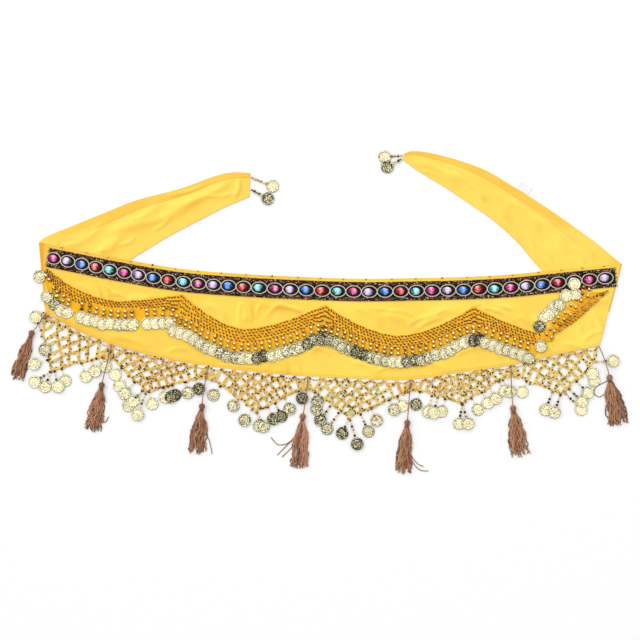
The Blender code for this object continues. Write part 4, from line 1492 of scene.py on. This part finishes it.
def band_coin_pieces(path, look, bead_look):
    """The drops of the four scallops: two round beads and a coin each."""
    row = Path([beside(path, path.length * share, COIN_REACH) for share in shares(260)])
    coins = Joined()
    beads = Joined()
    shape = coin_shape()
    round_bead = ball(12, 8)
    pick = random.Random(5)
    stops = []
    # Painted shade and dark reflection on one lower side of each round bead.
    bead_shade_tones = painted_bead_shade(round_bead)
    for x, y in FIRST_COINS:
        add_coin(coins, shape, on_cloth(place(x, y), 2.2 * MM),
                 leaning(Vector((1, 0, 0)), 0.04), x, 0.3)
    for x, y in FIRST_BEADS:
        where = on_cloth(from_photo(x, y), CROCHET_TOP + ROUND_BEAD)
        beads.add(round_bead, at_place(where, 0.0, ROUND_BEAD), tone=bead_shade_tones)
    for i in range(int((row.length - ROW_START_BARE - ROW_END_BARE) / COIN_PITCH) + 1):
        along = ROW_START_BARE + COIN_PITCH * i
        centre = row.at(along)
        if is_bare(centre):
            continue
        ahead = row.at(along + COIN_PITCH) - row.at(along - COIN_PITCH)
        # Painted dark reflection on this coin
        tone = painted_row_reflection((centre.x / MM + MIDDLE_X) / PIXEL + PHOTO_X)
        tone += pick.uniform(-0.12, 0.12)
        jog = Vector((pick.uniform(-1.2, 1.2), pick.uniform(-1.4, 1.4), 0)) * MM
        add_coin(coins, shape, on_cloth(centre + jog, COIN_HEIGHT),
                 leaning(ahead.normalized(), -math.radians(COIN_LEAN)), pick.uniform(0, 6.28),
                 tone)
    peaks = [row.at_x(place(x, y).x) for x, y in PEAKS]
    along = ROW_START_BARE
    while along < row.length - ROW_END_BARE:
        centre = row.at(along)
        hangs = (row.side(along, 16 * MM) + Vector((0, -1.2, 0))).normalized()
        straight = 1 / max(hangs.dot(row.side(along, 16 * MM)), 0.7)
        to_peak = min(abs(along - peak) for peak in peaks[1:])
        along += COIN_PITCH * (1 - PAIRS_CLOSER * smooth_step(1 - to_peak / PAIRS_REACH))
        if is_bare(centre):
            continue
        slip = pick.uniform(-0.9, 0.9) * MM
        for back in BEADS_BACK:
            nudge = Vector((pick.uniform(-0.5, 0.5) * MM + slip, pick.uniform(-0.4, 0.4) * MM, 0))
            place_at = centre - hangs * back * straight + nudge
            size = ROUND_BEAD * pick.uniform(0.94, 1.05)
            where = on_cloth(place_at, CROCHET_TOP + size)
            beads.add(round_bead, at_place(where, 0.0, size), tone=bead_shade_tones)
        stops.append(path.nearest(centre - hangs * BEADS_BACK[0] * straight))
    add_coin(coins, shape, on_cloth(place(*TURN_COIN), 2.6 * MM),
             leaning(Vector((1, 1, 0)).normalized(), 0.05), 0.4, 0.2)
    made = coins.build("band_coins_row", [look], ("band_coins",), "coins")
    pairs = beads.build("band_round_beads", [bead_look], slot="coins", sharp=0)
    return stops, [made, pairs]


def turned_coin_pieces(look, bead_look):
    """The coins and beads of the turned stretch, over the ribbon and the band."""
    coins = Joined()
    beads = Joined()
    shape = coin_shape()
    round_bead = ball(12, 8)
    for x, y, height, tone in TURNED_COINS:
        centre = on_cloth(from_photo(x, y), (height + 0.9) * MM)
        add_coin(coins, shape, centre, leaning(Vector((0.7, 0.7, 0)), 0.06), x, tone)
    for x, y in TURNED_BEADS:
        size = ROUND_BEAD * 0.94
        where = on_cloth(from_photo(x, y), 1.4 * MM + size)
        beads.add(round_bead, at_place(where, 0.5, (size * 0.85, size * 1.05, size)),
                  # Painted shade and dark reflection on one lower side of each bead.
                  tone=painted_bead_shade(round_bead))
    made = coins.build("turned_coins_row", [look], ("band_coins_turned",), "coins")
    return [made, beads.build("turned_round_beads", [bead_look], slot="coins", sharp=0)]


def net_stretch(number):
    """Start and end of a net point, as distances along the panel's lower edge."""
    start = LOW_EDGE.at_x(place(JUNCTION_X[number], 0).x) + JUNCTION_MARGIN
    end = LOW_EDGE.at_x(place(JUNCTION_X[number + 1], 0).x) - JUNCTION_MARGIN
    return start, end


def net_point(number, s, d):
    """A place in a net point: s along its top from 0 to 1, d from its top to its tip."""
    start, end = net_stretch(number)
    header = SEAM + YARN / 2

    def hung(share):
        distance = start + (end - start) * share
        return LOW_EDGE.at(distance) + LOW_EDGE.side(distance, COIN_RADIUS) * header

    tip = place(POINTS[number][1], POINTS[number][2])
    deepest = 1 - abs(2 * s - 1)
    depth = d * (SIDE_DEPTH / max(deepest, 0.01) + 1 - SIDE_DEPTH)
    return hung(s) + (tip - hung(0.5)) * depth


def net_side(number, outwards):
    """A net point's two sides from the left root over the tip to the right root."""
    cells = POINTS[number][0]
    places = [net_point(number, r / cells / 2, r / cells) for r in range(cells + 1)]
    places += [net_point(number, 1 - r / cells / 2, r / cells)
               for r in range(cells - 1, -1, -1)]
    moved = []
    for i, point in enumerate(places):
        run = places[min(i + 1, len(places) - 1)] - places[max(i - 1, 0)]
        run.normalize()
        moved.append(point + Vector((run.y, -run.x, 0)) * outwards)
    return moved


def net_threads(number):
    """The threads between a point's crossings, as pairs of places and a tone."""
    cells = POINTS[number][0]

    def crossing(row, column):
        return net_point(number, column / cells, row / cells)

    threads = []
    for i in range(cells):
        threads.append((crossing(0, i), crossing(1, i + 0.5)))
        threads.append((crossing(1, i + 0.5), crossing(0, i + 1)))
    for row in range(1, cells):
        for i in range(cells - row):
            left = crossing(row, row / 2 + i)
            right = crossing(row, row / 2 + i + 1)
            below = crossing(row + 1, row / 2 + i + 0.5)
            threads.append((left, below))
            threads.append((below, right))
    if number == 0:
        return threads
    before = POINTS[number - 1][0]
    middle = crossing(0, 0).lerp(net_point(number - 1, 1, 0), 0.5)
    left = net_point(number - 1, 1 - 0.5 / before, 1 / before)
    right = crossing(1, 0.5)

    def corner(row, column):
        far = row / CORNER_ROWS
        return middle.lerp(left, far).lerp(middle.lerp(right, far), column / row)

    for row in range(1, CORNER_ROWS):
        for i in range(row + 1):
            if i:
                threads.append((corner(row, i), corner(row + 1, i)))
            if i < row:
                threads.append((corner(row, i), corner(row + 1, i + 1)))
    for i in range(CORNER_ROWS):
        threads.append((corner(CORNER_ROWS, i), corner(CORNER_ROWS, i + 1)))
    return threads


def header_threads(number):
    """The row of shallow arches that runs along below the panel's edge."""
    start, end = net_stretch(number)
    count = max(round((end - start) / ARCH_PITCH), 1)
    arches = []
    for i in range(count):
        points = []
        for share in shares(8):
            distance = start + (end - start) * (i + share) / count
            depth = 1.0 * MM + ARCH_DEPTH * math.sin(math.pi * share) ** 0.7
            side = LOW_EDGE.side(distance, COIN_RADIUS)
            points.append(LOW_EDGE.at(distance) + side * depth + up(2.0 * MM))
        arches.append((points, 0.12 + 0.2 * (i % 3)))
    return arches


def jitter(point):
    """A small shift of a crossing, the same wherever it is asked for."""
    x = noise.noise(Vector((point.x * 90, point.y * 90, 0.5)))
    y = noise.noise(Vector((point.x * 90, point.y * 90, 9.5)))
    return point + Vector((x, y, 0)) * NET_JITTER


def net_piece(number, look, bead_look):
    """A point of the net: twisted yarn from knot to knot, with small beads on it."""
    yarn = Joined()
    beads = Joined()
    knot = ball(8, 6)
    seed = ball(8, 6)
    pick = random.Random(40 + number)
    knots = {}
    for start, end in net_threads(number):
        first = jitter(start)
        last = jitter(end)
        aside = Vector((first.y - last.y, last.x - first.x, 0)).normalized()
        bow = pick.uniform(-1.6, 1.6) * MM
        loop = pick.choice((-1, 1)) * pick.uniform(2.2, 3.6) * MM
        tone = 0.3 + 0.3 * unevenness(first.x, first.y, 18, 5.5) + pick.uniform(-0.2, 0.2)
        strands = ((0.9 * MM, 0.95), (-0.9 * MM, 0.95), (loop, 0.72))
        for strand, (shift, thick) in enumerate(strands):
            points = []
            sizes = []
            for i in range(7):
                share = i / 6
                curve = math.sin(math.pi * share)
                place_at = first.lerp(last, share) + aside * (bow + shift) * curve
                rise = 0.45 * MM * curve * (1 if strand else -1)
                points.append(place_at + up(NET_HEIGHT + rise))
                sizes.append(thick * (0.8 + 0.3 * abs(math.sin(5 * share + number))) * MM)
            yarn.add(tube(points, sizes, 6), tone=tone - (0.25 if strand == 2 else 0.0))
        turn = math.atan2(last.y - first.y, last.x - first.x)
        spots = [(0.2, bow), (0.5, bow), (0.8, bow), (0.5, bow + loop)]
        if (last - first).length < 8.5 * MM:
            spots = [(0.5, bow)]
        for share, out in spots:
            if pick.random() < 0.2:
                continue
            spot = first.lerp(last, share) + aside * out * math.sin(math.pi * share)
            spot += Vector((pick.uniform(-0.6, 0.6) * MM, pick.uniform(-0.6, 0.6) * MM,
                            NET_HEIGHT + 1.0 * MM))
            size = NET_BEAD * pick.uniform(0.8, 1.15)
            beads.add(seed, at_place(spot, turn, (size * 1.2, size, size)),
                      tone=1.0 if pick.random() < 0.3 else pick.uniform(0.0, 0.5))
        for crossing in (first, last):
            knots[(round(crossing.x * 1e4), round(crossing.y * 1e4))] = crossing
    for points, tone in header_threads(number):
        yarn.add(tube(points, HEADER_YARN, 6), tone=tone)
        for k in range(1, len(points) - 1, 2):
            size = NET_BEAD * pick.uniform(0.8, 1.1)
            beads.add(seed, at_place(points[k] + up(1.0 * MM), 0.0, size),
                      tone=1.0 if pick.random() < 0.3 else pick.uniform(0.0, 0.5))
    for crossing in knots.values():
        size = pick.uniform(1.3, 2.1) * MM
        spot = crossing + up(NET_HEIGHT + 0.1 * MM)
        yarn.add(knot, at_place(spot, pick.uniform(0, 3), (size, size * 0.8, size * 0.8)),
                 tone=pick.uniform(0.3, 0.8))
        if pick.random() < 0.4:
            beads.add(seed, at_place(spot + Vector((0.6 * MM, -0.5 * MM, 1.2 * MM)), 0.0,
                                     NET_BEAD), tone=pick.uniform(0.0, 1.0))
    name = "net_%d" % (number + 1)
    yarn.build(name + "_yarn", [look], (name,), "net_yarn", sharp=0)
    beads.build(name + "_beads", [bead_look], slot="coins", sharp=0)


def net_coin_piece(number, look, bead_look, thread_look):
    """The coins around a net point, each on a thread strung with dark and gold beads."""
    name = "net_coins_%d" % (number + 1)
    side = Path(net_side(number, YARN / 2)[1:-1])
    coins = Joined()
    shape = coin_shape()
    bead = ball(10, 7)
    pick = random.Random(70 + number)
    for i, (x, y) in enumerate(POINT_COINS[number]):
        centre = place(x, y)
        distance = side.nearest(centre)
        root = side.at(distance)
        outwards = side.side(distance, COIN_RADIUS)
        beyond = (centre - root).dot(outwards)
        over = smooth_step((COIN_RADIUS * 1.15 - beyond) / (4 * MM))
        step = COIN_WALL * (i % 3) + over * 2.4 * MM
        # Painted dark reflection on this coin
        tone = PAINTED_COIN_REFLECTIONS.get((x, y), pick.uniform(-0.1, 0.15))
        lean = Vector((pick.uniform(-1, 1), pick.uniform(-1, 1), 0)).normalized()
        middle = centre + up(1.2 * MM + step)
        add_coin(coins, shape, middle, leaning(lean, pick.uniform(0.01, 0.05)),
                 pick.uniform(0, 6.28), tone)
        run = (centre - root).normalized() if (centre - root).length > 1 * MM else outwards
        rim = centre - run * COIN_RADIUS * 0.86
        start = root + up(1.5 * MM)
        end = rim + up(middle.z + 0.7 * MM)
        drop_thread(coins, start, end, 0.4 * MM)
        count = max(int((rim - root).length / (2.6 * DROP_BEAD)), 2)
        for k, share in enumerate(shares(count - 1, 0.14, 0.85)):
            spot = start.lerp(end, share) + up(0.5 * MM)
            size = DROP_BEAD * (0.75 if k % 3 == 1 else 1.08)
            coins.add(bead, at_place(spot, 0.0, size), slot=1,
                      tone=pick.uniform(-0.6, 0.0) if k % 3 == 1 else pick.uniform(0.5, 1.2))
    coins.build(name + "_drops", [look, bead_look, thread_look], (name,), "coins")


def tassel_piece(number, look):
    """A tassel: cord, ball head wound with thread, neck, and loose wavy strands."""
    head_x, head_y, foot_x, foot_y, foot_width = TASSELS[number]
    distance = LOW_EDGE.at_x(place(JUNCTION_X[number], 0).x)
    root = LOW_EDGE.at(distance) + LOW_EDGE.side(distance, COIN_RADIUS) * SEAM
    head = place(head_x, head_y)
    foot = place(foot_x, foot_y)
    run = (foot - head).normalized()
    across = Vector((-run.y, run.x, 0))
    whole = (foot - head).length
    pick = random.Random(90 + number)
    made = Joined()
    centre = head + up(HEAD_RADIUS + FLOOR_CLEARANCE)

    cord = []
    start = root + up(lift(root.x) + CORD_RADIUS + 0.6 * MM)
    for share in shares(14):
        point = start.lerp(centre, share)
        bow = math.sin(math.pi * share)
        point += across * bow * 1.6 * MM * math.sin(number * 2.1 + 1)
        point.z = start.z + (centre.z - start.z) * share + 3.2 * MM * min(bow * 1.6, 1.0)
        cord.append(point)
    made.add(tube(cord, CORD_RADIUS, 8), tone=0.35)

    made.add(ball(16, 12),
             at_place(centre, 0.0, (HEAD_RADIUS, HEAD_RADIUS, HEAD_RADIUS * 0.92)), tone=0.5)
    for i in range(16):
        angle = math.pi * i / 16
        ring = []
        for k in range(17):
            turn = math.pi * k / 16
            local = Vector((math.cos(turn), math.sin(turn) * math.cos(angle),
                            math.sin(turn) * math.sin(angle))) * HEAD_RADIUS
            ring.append(centre + run * local.x + across * local.y + up(abs(local.z) * 0.92))
        made.add(tube(ring, 0.42 * MM, 4), tone=pick.uniform(0.2, 0.7))

    neck_at = head + run * HEAD_RADIUS * 0.95
    for i in range(4):
        ring = []
        middle = neck_at + run * (i * 0.9) * MM + up(HEAD_RADIUS * 0.72)
        for k in range(14):
            turn = math.tau * k / 14
            ring.append(middle + across * math.cos(turn) * 3.1 * MM
                        + up(math.sin(turn) * 2.8 * MM))
        ring.append(ring[0])
        made.add(tube(ring, 0.45 * MM, 5), tone=0.6)

    for i in range(TASSEL_THREADS):
        share = (i + 0.5) / TASSEL_THREADS * 2 - 1
        layer = pick.random()
        aside = share * 0.9 + pick.uniform(-0.18, 0.18)
        loose = pick.random() < 0.05
        spread = aside * foot_width * MM / 2 * (1.2 if loose else 1.0)
        reach = whole * pick.uniform(0.86, 1.02) * (1 - 0.04 * abs(aside))
        phase = pick.uniform(0, 6.28)
        wave = pick.uniform(1.3, 2.9) * MM
        rate = pick.uniform(2.6, 5.2)
        crimp = pick.uniform(0.5, 1.0) * MM
        belly = 1 - (aside * 0.8) ** 2
        points = []
        sizes = []
        for k in range(25):
            t = k / 24
            widen = smooth_step(t * 2.4) ** 0.8
            body = neck_at + run * (reach - HEAD_RADIUS) * t
            offset = 2.6 * MM * aside * (1 - widen) + spread * (0.62 + 0.38 * t) * widen
            offset += wave * math.sin(rate * 3.0 * t + phase) * min(t * 3, 1.0)
            offset += crimp * math.sin(38 * t + phase * 3) * min(t * 3, 1.0)
            rise = HEAD_RADIUS * 0.75 * (1 - widen) + (0.8 + 4.6 * layer * belly) * MM * widen
            rise *= 1 - 0.35 * t
            bob = 0.4 * MM * math.sin(rate * 4.3 * t + phase * 2)
            points.append(body + across * offset + up(max(rise + bob, 0.55 * MM)))
            sizes.append(STRAND_THICK * (1 - 0.15 * t) * (1 + 0.12 * math.sin(50 * t + phase)))
        # Strands that lie higher are paler and lower ones darker: painted light and shade, with a
        # random tone on top
        made.add(tube(points, sizes, 5), tone=0.95 - 0.9 * layer + pick.uniform(-0.35, 0.35))
    for row in TASSEL_EXTRAS[number + 1]:
        points = [tuple(from_photo(x, y) + up(0.8 * MM)) for x, y in row]
        smooth = [Vector(smooth_row(points, share)) for share in shares(18)]
        made.add(tube(smooth, STRAND_THICK * 0.72, 5), tone=0.4)
    name = "tassel_%d" % (number + 1)
    made.build(name + "_threads", [look], (name,), "tassel_thread", sharp=0)


def tip_piece(name, node, rows, look, bead_look, thread_look):
    """The beaded threads at a tie's tip, each with its coin."""
    drops = Joined()
    shape = coin_shape()
    bead = ball(10, 7)
    pick = random.Random(len(name))
    for i, (start_x, start_y, coin_x, coin_y) in enumerate(rows):
        start = place(start_x, start_y) + up(1.6 * MM)
        centre = place(coin_x, coin_y) + up((1.0 + 1.3 * i) * MM)
        run = centre - start
        run.z = 0
        run.normalize()
        add_coin(drops, shape, centre, leaning(run, -0.05), 0.7 * i, TIP_PAINTED_REFLECTIONS[i])
        end = centre - run * COIN_RADIUS * 0.85 + up(0.8 * MM)
        drop_thread(drops, start, end)
        count = max(int((end - start).length / (2.1 * DROP_BEAD)), 2)
        for k in range(count):
            spot = start.lerp(end, (k + 0.5) / count) + up(0.5 * MM)
            size = DROP_BEAD * (1.2 if k % 2 else 0.9)
            drops.add(bead, at_place(spot, 0.0, size), slot=1,
                      tone=pick.uniform(0.0, 0.8))
    drops.build(name, [look, bead_look, thread_look], (node,), "coins")


def label_piece(look):
    """The blank tape label, slightly curled."""
    at = Matrix.Translation(place(LABEL_X, LABEL_Y)) @ Matrix.Rotation(LABEL_TURN, 4, "Z")

    def surface(high):
        def where(u, v):
            curl = 0.9 * MM * (u - 0.5) ** 2 * 4 * v
            local = Vector(((u - 0.5) * LABEL_LENGTH, (v - 0.5) * LABEL_WIDTH,
                            high + 0.1 * MM + curl))
            return at @ local, (u * LABEL_LENGTH, v * LABEL_WIDTH)
        return where

    tape = grid_shell(surface(0.6 * MM), surface(0.0), shares(16), shares(10),
                      lambda u, v: 0.5)
    tape.build("blank_label", [look], ("label",), "label")


def stage():
    """Pale floor, soft light from all round and a camera straight above."""
    floor = bpy.data.meshes.new("floor")
    corners = [(x * FLOOR_HALF, y * FLOOR_HALF, 0)
               for x, y in ((-1, -1), (1, -1), (1, 1), (-1, 1))]
    floor.from_pydata(corners, [], [(0, 1, 2, 3)])
    floor.materials.append(floor_look())
    piece = in_scene("floor", floor)
    piece.location.z = -FLOOR_BELOW

    for name, where, energy, wide in LIGHTS:
        light = bpy.data.lights.new(name, "AREA")
        light.shape = "DISK"
        light.size = wide
        light.energy = energy
        lamp = in_scene(name, light)
        lamp.location = where
        lamp.rotation_euler = (-Vector(where)).to_track_quat("-Z", "Y").to_euler()

    world = bpy.data.worlds.new("studio")
    world.use_nodes = True
    bpy.context.scene.world = world
    tree = world.node_tree
    background = tree.nodes["Background"]
    where = tree.nodes.new("ShaderNodeTexCoord")
    toward = tree.nodes.new("ShaderNodeVectorMath")
    toward.operation = "DOT_PRODUCT"
    toward.inputs[1].default_value = Vector(SKY_TOWARD).normalized()
    ramp = tree.nodes.new("ShaderNodeValToRGB")
    set_stops(ramp.color_ramp, [(share, (bright,) * 3) for share, bright in SKY])
    tree.links.new(where.outputs["Generated"], toward.inputs[0])
    tree.links.new(toward.outputs["Value"], ramp.inputs["Fac"])
    tree.links.new(ramp.outputs["Color"], background.inputs["Color"])
    background.inputs["Strength"].default_value = SKY_STRENGTH

    camera = in_scene("camera", bpy.data.cameras.new("camera"))
    camera.data.type = "PERSP"
    camera.data.lens = 85
    camera.data.sensor_width = 36
    camera.location = CAMERA
    camera.data.clip_end = 20
    bpy.context.scene.camera = camera
    bpy.context.scene.view_settings.view_transform = "Standard"
    bpy.context.scene.view_settings.look = "None"


TOP_EDGE = Path([panel_plan(u, 0) for u in shares(200)])
TOP_XS = [point.x for point in TOP_EDGE.points]
LOW_EDGE = Path([panel_plan(u, 1) for u in shares(PANEL_CELLS, FOLD_OPENING, 1 - FOLD_OPENING)])
RIBBON = Path(ribbon_path())


def main():
    """All pieces, each in place of its node."""
    stage()
    cloth = cloth_look("panel_weave", (1.0, 0.755, 0.100), (0.90, 0.39, 0.012))
    tie_cloth = cloth_look("tie_weave", (1.0, 0.755, 0.118), (0.92, 0.45, 0.022))
    thread = yarn_look("sewing_thread", (0.95, 0.6, 0.10), (0.9, 0.45, 0.04), (0.7, 0.3, 0.02))
    crochet = crochet_look()
    net_yarn = yarn_look("net_yarn", (1.0, 0.82, 0.26), (1.0, 0.53, 0.045), (0.80, 0.26, 0.01))
    tassel = yarn_look("tassel_thread", (0.62, 0.31, 0.155), (0.30, 0.11, 0.042),
                       (0.05, 0.013, 0.004))
    coin = metal_look("pale_gold_coin", (0.86, 0.785, 0.50), (0.022, 0.017, 0.006),
                      0.24, 560.0, 0.21)
    round_gold = metal_look("round_gold_bead", (1.0, 0.72, 0.30), (0.12, 0.036, 0.004),
                            0.06, 60.0, 0.30)
    seed_gold = metal_look("seed_bead", (1.0, 0.62, 0.17), (0.17, 0.045, 0.004),
                           0.2, 200.0, 0.18)
    dark_bead = metal_look("dark_gold_bead", (1.0, 0.76, 0.34), (0.05, 0.022, 0.008),
                           0.12, 160.0, 0.26)
    ring = yarn_look("ring_cord", (0.90, 0.80, 0.58), (0.72, 0.58, 0.34), (0.4, 0.28, 0.14))
    gems = [gem_look(name, pale, deep) for name, pale, deep in GEM_COLOURS]

    panel = panel_piece(cloth)
    left = tie_piece("tie_cloth_left", TIE_LEFT, TIE_LEFT_CREASES, tie_cloth, "tie_left")
    right = tie_piece("tie_cloth_right", TIE_RIGHT, TIE_RIGHT_CREASES, tie_cloth, "tie_right")
    trims = [stitches("lower_hem_stitches", LOW_EDGE, -4.0 * MM, thread),
             stitches("top_hem_stitches", TOP_EDGE, 2.2 * MM, thread)]
    trims.append(edge_beads(round_gold))
    trims += ribbon_pieces(ribbon_look(), gems, ring)

    line = Path(band_path(PEAKS[0][0], TURN_X))
    turned_line = Path(list(reversed(band_path(TURNED_START_X, PEAKS[-1][0]))))
    stops, made = band_coin_pieces(line, coin, round_gold)
    trims += made
    trims.append(crochet_piece("crochet_scallops", line, crochet, "crochet_band", stops))
    trims.append(crochet_piece("crochet_turned_end", turned_line, crochet,
                               "crochet_band_turned", (), taper=True))
    trims += fold_over(crochet, seed_gold)
    corner_knot(net_yarn, dark_bead)
    trims.append(seed_rows("crochet_seed_beads", line, seed_gold))
    trims.append(seed_rows("turned_seed_beads", turned_line, seed_gold, taper=True))
    trims += turned_coin_pieces(coin, round_gold)
    for number in range(len(POINTS)):
        net_piece(number, net_yarn, dark_bead)
        net_coin_piece(number, coin, dark_bead, net_yarn)
    for number in range(len(TASSELS)):
        tassel_piece(number, tassel)
    tip_piece("tie_tip_left", "tip_drops_left", TIP_DROPS_LEFT, coin, dark_bead, thread)
    tip_piece("tie_tip_right", "tip_drops_right", TIP_DROPS_RIGHT, coin, dark_bead, thread)
    label_piece(label_look())

    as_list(trims)


main()
